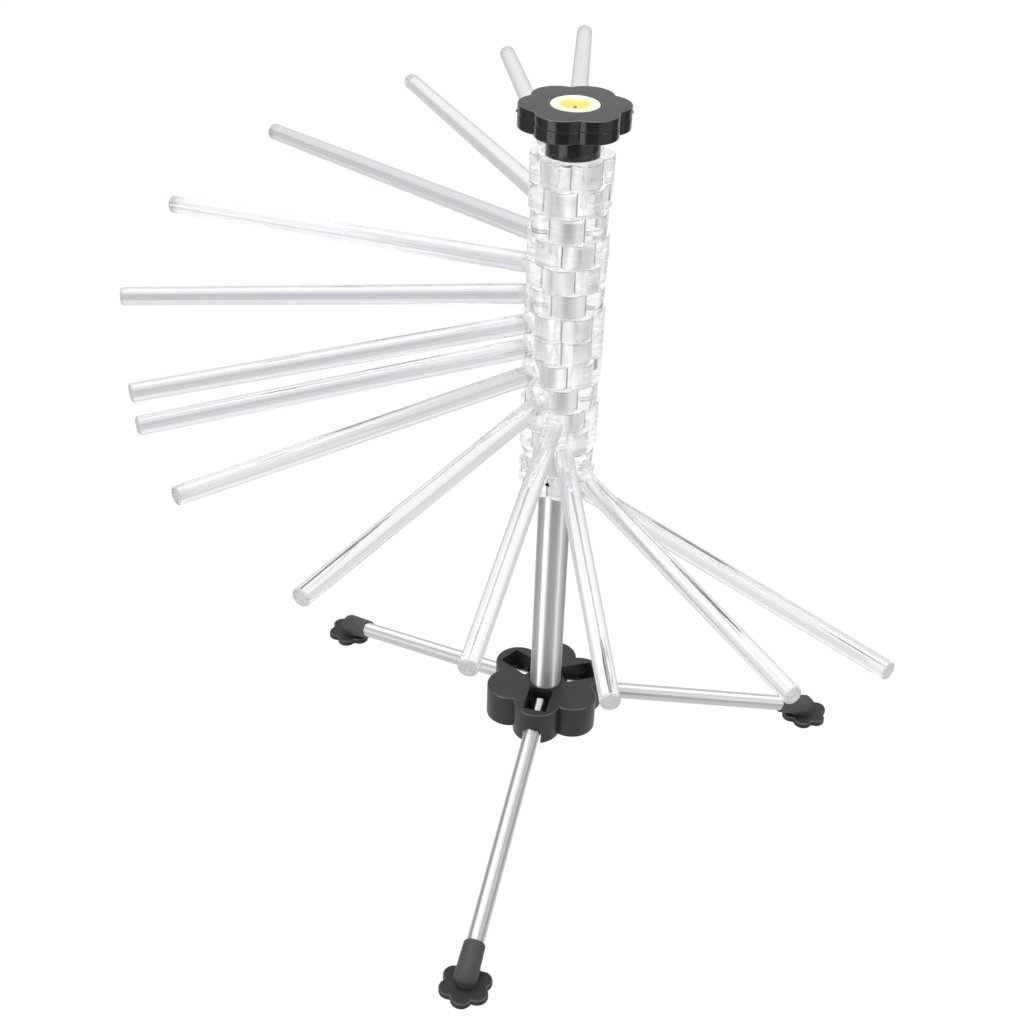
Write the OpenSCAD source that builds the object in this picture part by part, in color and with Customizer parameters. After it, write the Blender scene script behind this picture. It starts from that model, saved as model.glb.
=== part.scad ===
// Pasta drying rack: clear arms that fan out round a steel pole on three folding legs.
// Origin: centre of the base hub's underside, on the pole's axis. +Z runs up the pole,
// and the front leg points along -Y. Lengths are in millimetres, angles in degrees.

/* [Pole] */
// Outside diameter of the pole tube
pole_d = 19; // [17:0.5:21]
// Wall thickness of the pole tube
pole_wall = 1; // [0.8:0.1:1.5]

/* [Base hub] */
// Height of the hub's underside above the table
hub_clearance = 49; // [44:1:56]
// Height of the hub
hub_h = 22; // [21:0.5:26]
// Distance of each lobe's centre from the pole's axis
hub_lobe_at = 22.7; // [22:0.1:24]
// Radius of each lobe
hub_lobe_r = 14.5; // [14:0.1:16]
// Thickness of the cover plate let into the underside
cover_t = 2; // [1.5:0.1:2.5]

/* [Legs] */
// Outside diameter of a leg tube
leg_d = 10; // [9:0.1:10.4]
// Wall thickness of a leg tube
leg_wall = 0.8; // [0.6:0.1:1.2]
// Height of the centre of a foot's round heel above the table
heel_up = 8.2; // [6:0.1:9.5]
// Distance of a leg's pivot from the pole's axis
pivot_at = 24; // [23.5:0.1:24.5]
// Diameter of a leg's pivot pin
pivot_pin_d = 4; // [3:0.1:4.4]
// Distance of a foot's centre from the pole's axis
foot_reach = 187; // [170:1:205]
// Length of the rubber sleeve on a leg's end
sleeve_len = 22; // [18:0.5:28]
// Thickness of a foot's sole plate
sole_t = 4; // [3:0.1:5]

/* [Arms] */
// Height of the lowest arm's hub above the base hub's underside
stack_base = 168; // [150:1:190]
// Height of one arm's hub
arm_pitch = 14; // [13:0.1:16]
// Distance of an arm's tip from the pole's axis
arm_reach = 231.5; // [200:0.5:260]
// Diameter of an arm's rod where it leaves the hub
rod_root_d = 11; // [9:0.1:11.4]
// Diameter of an arm's rod at its tip
rod_tip_d = 9.4; // [8:0.1:10]
// Distance of each hub lobe's centre from the pole's axis
ring_lobe_at = 12.5; // [12:0.1:13.5]
// Radius of each hub lobe
ring_lobe_r = 9.2; // [9:0.1:10.5]
// Direction of the lowest arm
lowest_arm_deg = -34; // [-45:0.5:-20]
// How far each arm is fanned out from the one below it, lowest pair first
fan_deg = [16, 22, 15.5, 20, 21.5, 11.5, 2, 19.5, 22.5, 23.5, 24.5, 15.5, 12];

/* [Knob] */
// Height of the bare collar between the arms and the knob
collar_h = 13; // [10:0.5:16]
// Height of the knob
knob_h = 12; // [11:0.5:15]
// Distance of each knob lobe's centre from the pole's axis
knob_lobe_at = 14.6; // [14:0.1:16]
// Radius of each knob lobe
knob_lobe_r = 14; // [13.5:0.1:15]
// How far the knob trails the top arm
knob_lag_deg = 14; // [0:0.5:25]

/* [Wand] */
// Diameter of the wand kept in the pole
wand_d = 8; // [6:0.1:9]
// Length of the wand below its cap
wand_len = 280; // [200:5:300]
// Diameter of the wand's cap
cap_d = 25.2; // [24:0.1:26]

/* [Hidden] */
$fn = 64;

// Clearances, each a gap from face to face
run_gap = 0.08;
seat_gap = 0.02;
free_gap = 0.3;
bed_gap = 0.1;
eps = 0.5;
through = 60;
edge_steps = 3;

// Shared shape of hub, arm hubs, knob and soles: six round lobes
lobes = 6;
lobe_step = 360 / lobes;

// Legs, in the order front, right, left
leg_count = 3;
leg_deg = [-90, 30, 150];
leg_r = leg_d / 2;
pivot_z = 9;
leg_tail = 6.5;
tail_gap = 0.4;
foot_web = 4;
leg_drop = hub_clearance + pivot_z - heel_up;
leg_slope = atan(leg_drop / (foot_reach - pivot_at));
leg_run = (foot_reach - pivot_at) / cos(leg_slope);
leg_end = leg_run - foot_web;
pivot_pin_r = pivot_pin_d / 2;
pivot_pin_len = 24;
slot_w = leg_d + 2 * free_gap;
slot_back = 8.8;
slot_in = pivot_at - slot_back;
channel_r = slot_w / 2 + 0.15;
tail_sweep_r = sqrt(leg_tail * leg_tail + leg_r * leg_r) + tail_gap;
window_w = 14.4;
window_z = 14;
window_lip = 1.4;
window_in = pole_d / 2 + window_lip;
window_out = 27.5;

// Base hub and its cover
hub_edge = 1.6;
hub_wall = 2.2;
hub_floor = 3;
hub_roof = 3;
pocket_r = 10.4;
pocket_top = hub_h - hub_roof;
boss_r = 3.6;
cover_screw_r = 1.5;
cover_screw_head_r = 2.8;
cover_screw_len = 12;
cover_cross = [3, 0.7, 1.6];
base_screw_r = 2.5;
base_screw_head_r = 4.6;
base_screw_len = 20;
base_cross = [5, 1, 3];
screw_way = 0.2;
pole_lead = 1.2;
post_len = 5;
post_trim = 0.4;
pole_seat_z = cover_t + hub_floor;
plug_len = 19;

// Feet
sleeve_wall = 1.3;
sleeve_flare = 0.5;
sleeve_r = leg_r + sleeve_wall;
sleeve_foot_r = sleeve_r + sleeve_flare;
sleeve_past = 1.5;
sleeve_start = leg_run + sleeve_past - sleeve_len;
sole_lobe_at = 9.2;
sole_lobe_r = 6.1;
sole_edge = 1.2;

// Arms
arm_count = len(fan_deg) + 1;
fan_limit = 360 / arm_count;
pole_r = pole_d / 2;
bore_r = pole_r + run_gap;
spigot_wall = 4.5;
spigot_r = pole_r + spigot_wall;
spigot_h = 1.2;
socket_gap = 0.6;
socket_r = spigot_r + socket_gap;
socket_h = spigot_h + 0.2;
dog_deg = 180;
dog_wall = 1.9;
dog_in = pole_r + dog_wall;
dog_w = 16;
dog_h = 1.6;
dog_gap = 0.2;
dog_slot_h = dog_h + 2 * dog_gap;
dog_end_gap = 1;
rod_drop = 0.8;
rod_from = 12;
rod_blend = 0.6;
rod_blend_r = rod_root_d / 2 + rod_blend;
rod_blend_at = ring_lobe_at + 0.66 * ring_lobe_r;
rod_blend_len = 3;
rod_edge = 1;
ring_edge = 0.4;
gate_r = 1.5;
gate_depth = 0.3;
stack_top = stack_base + arm_count * arm_pitch;
arm_screw_r = 1.5;
arm_screw_up = 1;
arm_screw_in = pole_r - pole_wall - 0.5;
arm_screw_out = 17;
arm_screw_key_r = 0.8;
arm_screw_key_h = 1.5;

// Knob, bush and wand
knob_z = stack_top + collar_h;
knob_top = knob_z + knob_h;
knob_lower_h = 6.3;
knob_part_z = knob_z + knob_lower_h;
knob_deg = arm_deg(1) + dog_deg - knob_lag_deg;
knob_lobe_deg = 50.5;
knob_edge = 0.9;
part_edge = 0.3;
knob_floor = 3;
knob_gate_lobes = [1, 4];
knob_gate_r = 0.8;
knob_gate_up = 1.6;
knob_gate_proud = 0.5;
cap_gap = 0.4;
cap_well_r = cap_d / 2 + cap_gap;
joint_in = 15.2;
joint_w = 2;
joint_h = 2;
pole_rise = 0.2;
pole_top = knob_z + knob_floor + pole_rise;
bush_flange_t = 1.8;
bush_inset = 0.6;
bush_len = 20;
cap_r = cap_d / 2;
cap_foot_edge = 0.3;
cap_edge = 0.6;
cap_z = pole_top + bush_flange_t;
cap_h = knob_top - cap_z;
dish_r = 7.8;
dish_depth = 1.5;
dish_steps = 8;
dish_hole_r = 0.8;
dish_hole_depth = 1;
wand_r = wand_d / 2;
wand_socket = 3;
wand_tip_edge = 1.5;

steel = "silver";
black = "#2b2b2d";
rubber = "#262628";
clear = [0.88, 0.90, 0.94, 0.35];
cream = "#fbf3c9";

// Direction and mid height of arm k, counted from 1 at the top
function sum_to(list, n) = n <= 0 ? 0 : list[n - 1] + sum_to(list, n - 1);
function arm_deg(k) = lowest_arm_deg - sum_to(fan_deg, arm_count - k);
function arm_z(k) = stack_base + (arm_count - k + 0.5) * arm_pitch;

// Quarter-round corner of radius e about (x, z), from angle a0 to a1
function corner(x, z, e, a0, a1, n = 3) =
    [for (i = [0 : n]) let (a = a0 + (a1 - a0) * i / n) [x + e * cos(a), z + e * sin(a)]];

// Flat outline with six round lobes
module lobed_outline(at, r) {
    for (i = [0 : lobes - 1]) rotate(i * lobe_step) translate([at, 0]) circle(r = r);
    circle(r = at);
}

// Six-lobed prism standing on z = 0. Its edges, of size e_bottom and e_top, step round in steps.
module lobed(at, r, h, e_bottom = 0, e_top = 0, steps = 1) {
    for (i = [0 : max(e_bottom, e_top) > 0 ? steps : 0]) {
        inset = max(e_bottom, e_top) * (1 - cos(90 * i / steps));
        left = 1 - sin(90 * i / steps);
        translate([0, 0, e_bottom * left])
            linear_extrude(height = h - (e_bottom + e_top) * left) lobed_outline(at, r - inset);
    }
}

// Part of a ring between two angles
module arc_block(r_in, r_out, from, to, h) {
    reach = 2 * r_out;
    mid = (from + to) / 2;
    intersection() {
        difference() {
            cylinder(r = r_out, h = h);
            translate([0, 0, -eps]) cylinder(r = r_in, h = h + 2 * eps);
        }
        linear_extrude(height = h)
            polygon([[0, 0], [reach * cos(from), reach * sin(from)],
                     [reach * cos(mid), reach * sin(mid)], [reach * cos(to), reach * sin(to)]]);
    }
}

// Drive dog under a hub, which pushes the hub below once it reaches its slot's end
module dog() {
    arc_block(dog_in, spigot_r, dog_deg - dog_w / 2, dog_deg + dog_w / 2, dog_h + 1);
}

// Countersunk screw pointing up, its head's face at z = 0
module countersunk(r, head_r, length, gap = 0) {
    cylinder(r1 = head_r + gap, r2 = r + gap, h = head_r - r);
    cylinder(r = r + gap, h = length);
}

// Frame of leg i: origin on its pivot, +X out along the leg, +Y along the pin
module on_leg(i) {
    rotate([0, 0, leg_deg[i]]) translate([pivot_at, 0, pivot_z]) rotate([0, leg_slope, 0]) children();
}

// Room that leg i needs in the hub: standing, folding down, and for its tail
module leg_room(i) {
    out_x = pivot_at + (pivot_z + eps) / tan(leg_slope);
    rotate([0, 0, leg_deg[i]]) {
        rotate([90, 0, 0]) linear_extrude(height = slot_w, center = true) {
            polygon([[slot_in, -eps], [out_x, -eps], [pivot_at, pivot_z], [slot_in, window_z + eps]]);
            translate([pivot_at, pivot_z]) circle(r = tail_sweep_r);
        }
        translate([window_in, -window_w / 2, window_z]) cube([window_out - window_in, window_w, hub_h]);
    }
    on_leg(i) rotate([0, 90, 0]) cylinder(r = channel_r, h = through);
}

// Groove that drops a leg's pin in from below
module pin_groove(i) {
    r = pivot_pin_r + seat_gap;
    w = 2 * r + bed_gap;
    len = pivot_pin_len + 2 * seat_gap;
    rotate([0, 0, leg_deg[i]]) translate([pivot_at, 0, 0]) {
        translate([0, 0, pivot_z]) rotate([90, 0, 0]) cylinder(r = r, h = len, center = true);
        translate([-w / 2, -(len + bed_gap) / 2, 0]) cube([w, len + bed_gap, pivot_z]);
    }
}

module base_hub() {
    color(black) difference() {
        rotate([0, 0, leg_deg[0]]) lobed(hub_lobe_at, hub_lobe_r, hub_h, 0, hub_edge, edge_steps);
        translate([0, 0, -eps]) rotate([0, 0, leg_deg[0]])
            lobed(hub_lobe_at, hub_lobe_r - hub_wall, cover_t + eps);
        translate([0, 0, pole_seat_z]) cylinder(r = pole_r + seat_gap, h = hub_h);
        translate([0, 0, hub_h - pole_lead]) cylinder(r1 = pole_r - eps, r2 = pole_r + pole_lead,
                                                 h = pole_lead + eps);
        cylinder(r = base_screw_r + screw_way, h = hub_h);
        for (i = [0 : leg_count - 1]) {
            leg_room(i);
            pin_groove(i);
            rotate([0, 0, leg_deg[i] + lobe_step]) translate([hub_lobe_at, 0, 0]) difference() {
                cylinder(r = pocket_r, h = pocket_top);
                translate([0, 0, cover_t]) difference() {
                    cylinder(r = boss_r, h = hub_h);
                    cylinder(r = cover_screw_r + seat_gap, h = cover_screw_len);
                }
            }
        }
    }
}

module base_cover() {
    post_h = pivot_z - pivot_pin_r - cover_t - seat_gap;
    post_w = pivot_pin_d - post_trim;
    post_at = (slot_w + pivot_pin_len) / 4;
    color(black) difference() {
        union() {
            rotate([0, 0, leg_deg[0]]) lobed(hub_lobe_at, hub_lobe_r - hub_wall - bed_gap, cover_t);
            for (i = [0 : leg_count - 1], side = [-1, 1])
                rotate([0, 0, leg_deg[i]])
                    translate([pivot_at - post_w / 2, side * post_at - post_len / 2, cover_t - bed_gap])
                        cube([post_w, post_len, post_h + bed_gap]);
        }
        for (i = [0 : leg_count - 1]) {
            rotate([0, 0, leg_deg[i]]) translate([slot_in, -slot_w / 2, -eps])
                cube([through, slot_w, hub_h]);
            rotate([0, 0, leg_deg[i] + lobe_step]) translate([hub_lobe_at, 0, 0])
                countersunk(cover_screw_r, cover_screw_head_r, hub_h, seat_gap);
        }
        countersunk(base_screw_r, base_screw_head_r, hub_h, seat_gap);
    }
}

module cover_screws() {
    color(steel) for (i = [0 : leg_count - 1])
        rotate([0, 0, leg_deg[i] + lobe_step]) translate([hub_lobe_at, 0, 0]) difference() {
            countersunk(cover_screw_r, cover_screw_head_r, cover_screw_len);
            for (turn = [0, 90])
                rotate([0, 0, turn]) cube(cover_cross, center = true);
        }
}

module base_screw() {
    color(steel) difference() {
        countersunk(base_screw_r, base_screw_head_r, base_screw_len);
        for (turn = [0, 90])
            rotate([0, 0, turn]) cube(base_cross, center = true);
    }
}

module pole() {
    color(steel) difference() {
        translate([0, 0, pole_seat_z]) cylinder(r = pole_r, h = pole_top - pole_seat_z);
        cylinder(r = pole_r - pole_wall, h = pole_top + eps);
        arm_screw_hole();
    }
}

module pole_plug() {
    color(black) translate([0, 0, pole_seat_z]) difference() {
        cylinder(r = pole_r - pole_wall - seat_gap, h = plug_len);
        cylinder(r = base_screw_r + seat_gap, h = 3 * plug_len, center = true);
    }
}

module leg(i) {
    color(steel) on_leg(i) difference() {
        translate([-leg_tail, 0, 0]) rotate([0, 90, 0]) cylinder(r = leg_r, h = leg_end + leg_tail);
        translate([-leg_tail - eps, 0, 0]) rotate([0, 90, 0])
            cylinder(r = leg_r - leg_wall, h = leg_end + leg_tail + 2 * eps);
        rotate([90, 0, 0]) cylinder(r = pivot_pin_r + run_gap, h = 2 * leg_d, center = true);
    }
}

module leg_pin(i) {
    color(steel) on_leg(i) rotate([90, 0, 0]) cylinder(r = pivot_pin_r, h = pivot_pin_len, center = true);
}

module foot(i) {
    color(rubber) difference() {
        union() {
            rotate([0, 0, leg_deg[i]]) translate([foot_reach, 0, -hub_clearance])
                lobed(sole_lobe_at, sole_lobe_r, sole_t, 0, sole_edge, edge_steps);
            on_leg(i) {
                translate([sleeve_start, 0, 0]) rotate([0, 90, 0])
                    cylinder(r1 = sleeve_r, r2 = sleeve_foot_r, h = leg_run - sleeve_start);
                translate([leg_run, 0, 0]) sphere(r = sleeve_foot_r);
            }
        }
        on_leg(i) translate([sleeve_start - eps, 0, 0]) rotate([0, 90, 0])
            cylinder(r = leg_r + seat_gap, h = leg_end - sleeve_start + eps);
    }
}

// Frame of the screw that fixes the lowest arm: +Z runs out along it from the pole's axis
module on_arm_screw() {
    translate([0, 0, arm_z(arm_count) + arm_screw_up])
        rotate([0, 0, arm_deg(arm_count) - lobe_step]) rotate([0, 90, 0]) children();
}

// Hole for that screw through the lowest arm's hub and the pole's wall
module arm_screw_hole() {
    on_arm_screw() translate([0, 0, pole_r - pole_wall - eps])
        cylinder(r = arm_screw_r + seat_gap, h = through);
}

module arm_screw() {
    color(black) on_arm_screw() difference() {
        translate([0, 0, arm_screw_in]) cylinder(r = arm_screw_r, h = arm_screw_out - arm_screw_in);
        translate([0, 0, arm_screw_out - arm_screw_key_h])
            cylinder(r = arm_screw_key_r, h = through, $fn = 6);
    }
}

// Rod of an arm, lying along +X, with a blended root and a rounded tip
module rod() {
    root_r = rod_root_d / 2;
    tip_r = rod_tip_d / 2;
    difference() {
        rotate([0, 90, 0]) rotate_extrude()
            polygon(concat([[0, rod_from], [rod_blend_r, rod_from], [rod_blend_r, rod_blend_at],
                            [root_r + 0.3 * rod_blend, rod_blend_at + 0.4 * rod_blend_len],
                            [root_r, rod_blend_at + rod_blend_len]],
                           corner(tip_r - rod_edge, arm_reach - rod_edge, rod_edge, 0, 90),
                           [[0, arm_reach]]));
        translate([arm_reach - gate_depth, 0, 0]) rotate([0, 90, 0]) cylinder(r = gate_r, h = 2);
    }
}

// Arm k: lobed hub, spigot and drive dog below, socket and dog slot above, and one rod
module arm(k) {
    half = arm_pitch / 2;
    dog_from = dog_deg - fan_limit - dog_w / 2 - dog_end_gap;
    dog_to = dog_deg + dog_w / 2 + dog_end_gap;
    color(clear) difference() {
        translate([0, 0, arm_z(k)]) rotate([0, 0, arm_deg(k)]) difference() {
            union() {
                translate([0, 0, -half]) rotate([0, 0, lobe_step / 2])
                    lobed(ring_lobe_at, ring_lobe_r, arm_pitch, ring_edge, ring_edge);
                translate([0, 0, -half - spigot_h]) cylinder(r = spigot_r, h = spigot_h + 1);
                translate([0, 0, -half - spigot_h - dog_h]) dog();
                translate([0, 0, -rod_drop]) rod();
            }
            cylinder(r = bore_r, h = 3 * arm_pitch, center = true);
            translate([0, 0, half - socket_h]) cylinder(r = socket_r, h = arm_pitch);
            translate([0, 0, half - socket_h - dog_slot_h])
                arc_block(dog_in - dog_gap, socket_r, dog_from, dog_to, dog_slot_h + 1);
        }
        if (k == arm_count) arm_screw_hole();
    }
}

// Ring that the knob's two halves share as a joint, widened by a gap all round
module knob_joint(gap) {
    difference() {
        cylinder(r = joint_in + joint_w + gap, h = joint_h + gap + bed_gap);
        translate([0, 0, -eps]) cylinder(r = joint_in - gap, h = joint_h + 3 * eps);
    }
}

module knob_lower() {
    collar_z = stack_top - spigot_h;
    color(black) difference() {
        union() {
            translate([0, 0, knob_z]) rotate([0, 0, knob_deg + knob_lobe_deg])
                lobed(knob_lobe_at, knob_lobe_r, knob_part_z - knob_z, knob_edge, part_edge, edge_steps);
            translate([0, 0, collar_z]) rotate([0, 0, knob_deg - dog_deg]) {
                cylinder(r = spigot_r, h = knob_z - collar_z + 1);
                translate([0, 0, -dog_h]) dog();
            }
        }
        cylinder(r = bore_r, h = knob_top);
        translate([0, 0, knob_z + knob_floor]) cylinder(r = cap_well_r, h = knob_h);
        translate([0, 0, knob_part_z - joint_h - seat_gap]) knob_joint(seat_gap);
    }
}

module knob_upper() {
    color(black) difference() {
        union() {
            translate([0, 0, knob_part_z]) rotate([0, 0, knob_deg + knob_lobe_deg]) {
                lobed(knob_lobe_at, knob_lobe_r, knob_top - knob_part_z, part_edge, knob_edge, edge_steps);
                for (i = knob_gate_lobes) rotate([0, 0, i * lobe_step])
                    translate([knob_lobe_at + knob_lobe_r - eps, 0, knob_gate_up])
                        rotate([0, 90, 0]) cylinder(r = knob_gate_r, h = eps + knob_gate_proud);
            }
            translate([0, 0, knob_part_z - joint_h]) knob_joint(0);
        }
        cylinder(r = cap_well_r, h = knob_top + eps);
    }
}

module top_bush() {
    color(black) difference() {
        union() {
            translate([0, 0, pole_top - bush_len])
                cylinder(r = pole_r - pole_wall - seat_gap, h = bush_len + bed_gap);
            translate([0, 0, pole_top]) cylinder(r = cap_r - bush_inset, h = bush_flange_t);
        }
        cylinder(r = wand_r + run_gap, h = knob_top);
    }
}

module wand_rod() {
    length = wand_len + wand_socket;
    color(cream) translate([0, 0, cap_z - wand_len]) rotate_extrude()
        polygon(concat([[0, 0]], corner(wand_r - wand_tip_edge, wand_tip_edge, wand_tip_edge, -90, 0),
                       [[wand_r, length], [0, length]]));
}

module wand_cap() {
    color(cream) difference() {
        translate([0, 0, cap_z]) rotate_extrude()
            polygon(concat([[0, 0]], corner(cap_r - cap_foot_edge, cap_foot_edge, cap_foot_edge, -90, 0),
                           corner(cap_r - cap_edge, cap_h - cap_edge, cap_edge, 0, 90),
                           [for (i = [dish_steps : -1 : 0]) let (x = i / dish_steps)
                               [dish_r * x, cap_h - dish_depth * (1 - x * x)]]));
        translate([0, 0, cap_z - eps]) cylinder(r = wand_r + seat_gap, h = wand_socket + eps);
        translate([0, 0, knob_top - dish_depth - dish_hole_depth]) cylinder(r = dish_hole_r, h = knob_h);
    }
}

base_hub();
base_cover();
cover_screws();
base_screw();
pole();
pole_plug();
leg(0);  // leg_front
leg(1);  // leg_right
leg(2);  // leg_left
leg_pin(0);  // leg_pin_front
leg_pin(1);  // leg_pin_right
leg_pin(2);  // leg_pin_left
foot(0);  // foot_front
foot(1);  // foot_right
foot(2);  // foot_left
arm(1);  // arm_01
arm(2);  // arm_02
arm(3);  // arm_03
arm(4);  // arm_04
arm(5);  // arm_05
arm(6);  // arm_06
arm(7);  // arm_07
arm(8);  // arm_08
arm(9);  // arm_09
arm(10);  // arm_10
arm(11);  // arm_11
arm(12);  // arm_12
arm(13);  // arm_13
arm(14);  // arm_14
arm_screw();
knob_lower();
knob_upper();
top_bush();
wand_rod();
wand_cap();
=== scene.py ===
"""Looks of a pasta drying rack: clear arms on a steel pole, black hub, knob and rubber feet.

Shapes are worked out with numpy in millimetres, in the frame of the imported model: the origin is
the centre of the base hub's underside, +Z runs up the pole and the front leg points along -Y.
They turn to metres when their mesh is made.
"""

import logging
import math
from dataclasses import dataclass
from enum import Enum
from functools import partial
from typing import Callable

import bmesh
import bpy
import numpy as np
from mathutils import Matrix, Vector


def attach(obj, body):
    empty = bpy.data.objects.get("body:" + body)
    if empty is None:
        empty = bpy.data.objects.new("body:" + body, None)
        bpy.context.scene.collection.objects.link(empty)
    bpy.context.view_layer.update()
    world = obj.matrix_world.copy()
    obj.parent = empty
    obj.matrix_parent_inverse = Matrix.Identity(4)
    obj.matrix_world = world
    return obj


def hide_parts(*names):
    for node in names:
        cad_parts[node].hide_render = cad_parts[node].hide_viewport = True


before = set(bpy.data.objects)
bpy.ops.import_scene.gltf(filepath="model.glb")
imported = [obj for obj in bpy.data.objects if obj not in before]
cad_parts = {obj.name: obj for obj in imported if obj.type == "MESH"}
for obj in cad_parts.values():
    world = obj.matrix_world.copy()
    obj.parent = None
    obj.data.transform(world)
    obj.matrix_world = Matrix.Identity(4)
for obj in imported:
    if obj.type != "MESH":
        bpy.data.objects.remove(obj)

log = logging.getLogger("rack")

Socket = bpy.types.NodeSocket
Add = Callable[..., Socket]
Shader = Callable[[Add], Socket]
Finishes = dict[str, bpy.types.Material]
Span = tuple[float, float]

# Directions are in degrees about +Z, from +X. FAN holds the steps from each arm to the one above it,
# from the lowest up. Slopes are the least and greatest upward part of a face's normal.
MM = 0.001
IMAGE_SIZE = 1024
WHITE = (1.0, 1.0, 1.0, 1.0)
COLOURS = {"out": 2, "data_type": "RGBA"}
LOBES = 6
LEG_AZIMUTHS = {"front": -90.0, "right": 30.0, "left": 150.0}
ARM_COUNT = 14
FAN = (16.0, 22.0, 15.5, 20.0, 21.5, 11.5, 2.0, 19.5, 22.5, 23.5, 24.5, 15.5, 12.0)
LOWEST_ARM = -34.0
VIEW_HEADING = 102.75
RACK_MIDDLE = 170.0
ALL_SLOPES = (-2.0, 2.0)
EDGE_SLOPES = (0.3, 0.97)
SOFT_SLOPES = (0.35, 0.94)
UPRIGHT_SLOPES = (-0.3, 0.3)
FLAT_SLOPES = (0.99, 1.1)
LEVEL_PLAY = 0.05
NOISE_SPAN = (0.3, 0.7)


class Cut(Enum):
    """How one solid acts on another."""

    ADD = "UNION"
    REMOVE = "DIFFERENCE"


def linear(code: str) -> tuple[float, float, float, float]:
    """Turn an sRGB hex colour into the linear colour that shaders use.

    Args:
        code: six hex digits, with or without a leading mark.

    Returns:
        Red, green, blue and an alpha of 1.
    """
    raw = np.array([int(code.lstrip("#")[i : i + 2], 16) for i in (0, 2, 4)]) / 255
    value = np.where(raw <= 0.04045, raw / 12.92, ((raw + 0.055) / 1.055) ** 2.4)
    return (*value.tolist(), 1.0)


def metres(span: Span) -> Span:
    """Return two lengths in metres."""
    return span[0] * MM, span[1] * MM


def turn(degrees: float, axis: str = "Z") -> np.ndarray:
    """Return the 4x4 turn by an angle about an axis."""
    return np.array(Matrix.Rotation(math.radians(degrees), 4, axis))


def shift(x: float = 0.0, y: float = 0.0, z: float = 0.0) -> np.ndarray:
    """Return the 4x4 shift by three lengths."""
    return np.array(Matrix.Translation((x, y, z)))


def direction(azimuth: float, elevation: float) -> Vector:
    """Return the unit vector at an azimuth and an elevation in degrees."""
    a, e = math.radians(azimuth), math.radians(elevation)
    return Vector((math.cos(a) * math.cos(e), math.sin(a) * math.cos(e), math.sin(e)))


@dataclass
class Shell:
    """A surface made of four-sided faces.

    Attributes:
        points: corner positions in millimetres, one row each.
        quads: indices of the four corners of each face.
        uv: position along and around the surface at each face corner, in millimetres.
    """

    points: np.ndarray
    quads: np.ndarray
    uv: np.ndarray

    @classmethod
    def grid(cls, rows: np.ndarray, loop: bool = False) -> "Shell":
        """Join a grid of points into a tube of faces whose columns close round.

        Args:
            rows: points as an array of rows, columns and coordinates.
            loop: whether the last row joins the first.

        Returns:
            The surface, with u running across the rows and v round the columns.
        """
        count, columns = rows.shape[:2]
        last = count if loop else count - 1
        i, j = np.meshgrid(np.arange(last), np.arange(columns), indexing="ij")
        up, right = (i + 1) % count, (j + 1) % columns
        quads = np.stack([i * columns + j, i * columns + right, up * columns + right, up * columns + j], -1)
        steps = np.linalg.norm(np.roll(rows, -1, 0) - rows, axis=2).mean(1)
        along = np.concatenate([[0.0], np.cumsum(steps)])
        girth = np.linalg.norm(np.roll(rows, -1, 1) - rows, axis=2).sum(1).max() / columns
        u = np.stack([along[i], along[i], along[i + 1], along[i + 1]], -1)
        v = np.stack([j, j + 1, j + 1, j], -1) * girth
        return cls(rows.reshape(-1, 3), quads.reshape(-1, 4), np.stack([u, v], -1).reshape(-1, 4, 2))

    def placed(self, matrix: np.ndarray) -> "Shell":
        """Return the surface moved by a 4x4 matrix."""
        return Shell(self.points @ matrix[:3, :3].T + matrix[:3, 3], self.quads, self.uv)

    def joined(self, *others: "Shell") -> "Shell":
        """Gather this surface and others in one, unmerged.

        Args:
            *others: the other surfaces.

        Returns:
            One surface that holds them all.
        """
        parts = (self, *others)
        starts = np.cumsum([0] + [len(p.points) for p in parts[:-1]])
        return Shell(
            np.concatenate([p.points for p in parts]),
            np.concatenate([p.quads + s for p, s in zip(parts, starts)]),
            np.concatenate([p.uv for p in parts]),
        )


def fillet(r: float, z: float, size: float, start: float, end: float, steps: int = 6) -> list[Span]:
    """Points of a round corner: centre (r, z) plus size times cosine and sine of an angle.

    Args:
        r: distance of the corner's centre from the axis.
        z: height of the corner's centre.
        size: radius of the corner.
        start: first angle in degrees.
        end: last angle in degrees.
        steps: number of straight steps.

    Returns:
        Pairs of distance and height.
    """
    angles = np.radians(np.linspace(start, end, steps + 1))
    return list(zip(r + size * np.cos(angles), z + size * np.sin(angles)))


def revolve(profile: list[Span], columns: int = 96, loop: bool = False) -> Shell:
    """Turn a profile of distances and heights about Z: (r cos t, r sin t, z).

    Args:
        profile: pairs of distance from the axis and height.
        columns: number of steps round.
        loop: whether the profile closes on itself.

    Returns:
        The turned surface.
    """
    r, z = np.array(profile).T
    t = np.linspace(0, 2 * math.pi, columns, endpoint=False)
    rows = np.stack([np.outer(r, np.cos(t)), np.outer(r, np.sin(t)), np.outer(z, np.ones(columns))], -1)
    return Shell.grid(rows, loop)


def cylinder(r: float, low: float, high: float, columns: int = 64) -> Shell:
    """Return a solid cylinder about Z between two heights."""
    return revolve([(0, low), (r, low), (r, high), (0, high)], columns)


def prism(ring: np.ndarray, low: float, high: float, top: np.ndarray | None = None) -> Shell:
    """Lift a flat ring of points into a closed solid, its ends drawn in to the ring's middle.

    Args:
        ring: points of the outline, one row each.
        low: height of the lower end.
        high: height of the upper end.
        top: points of the upper outline where it differs from the lower one.

    Returns:
        The closed surface.
    """
    top = ring if top is None else top
    middle = np.broadcast_to(ring.mean(0), ring.shape)
    layers = ((middle, low), (ring, low), (top, high), (middle, high))
    return Shell.grid(np.stack([np.column_stack([xy, np.full(len(xy), z)]) for xy, z in layers]))


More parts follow.
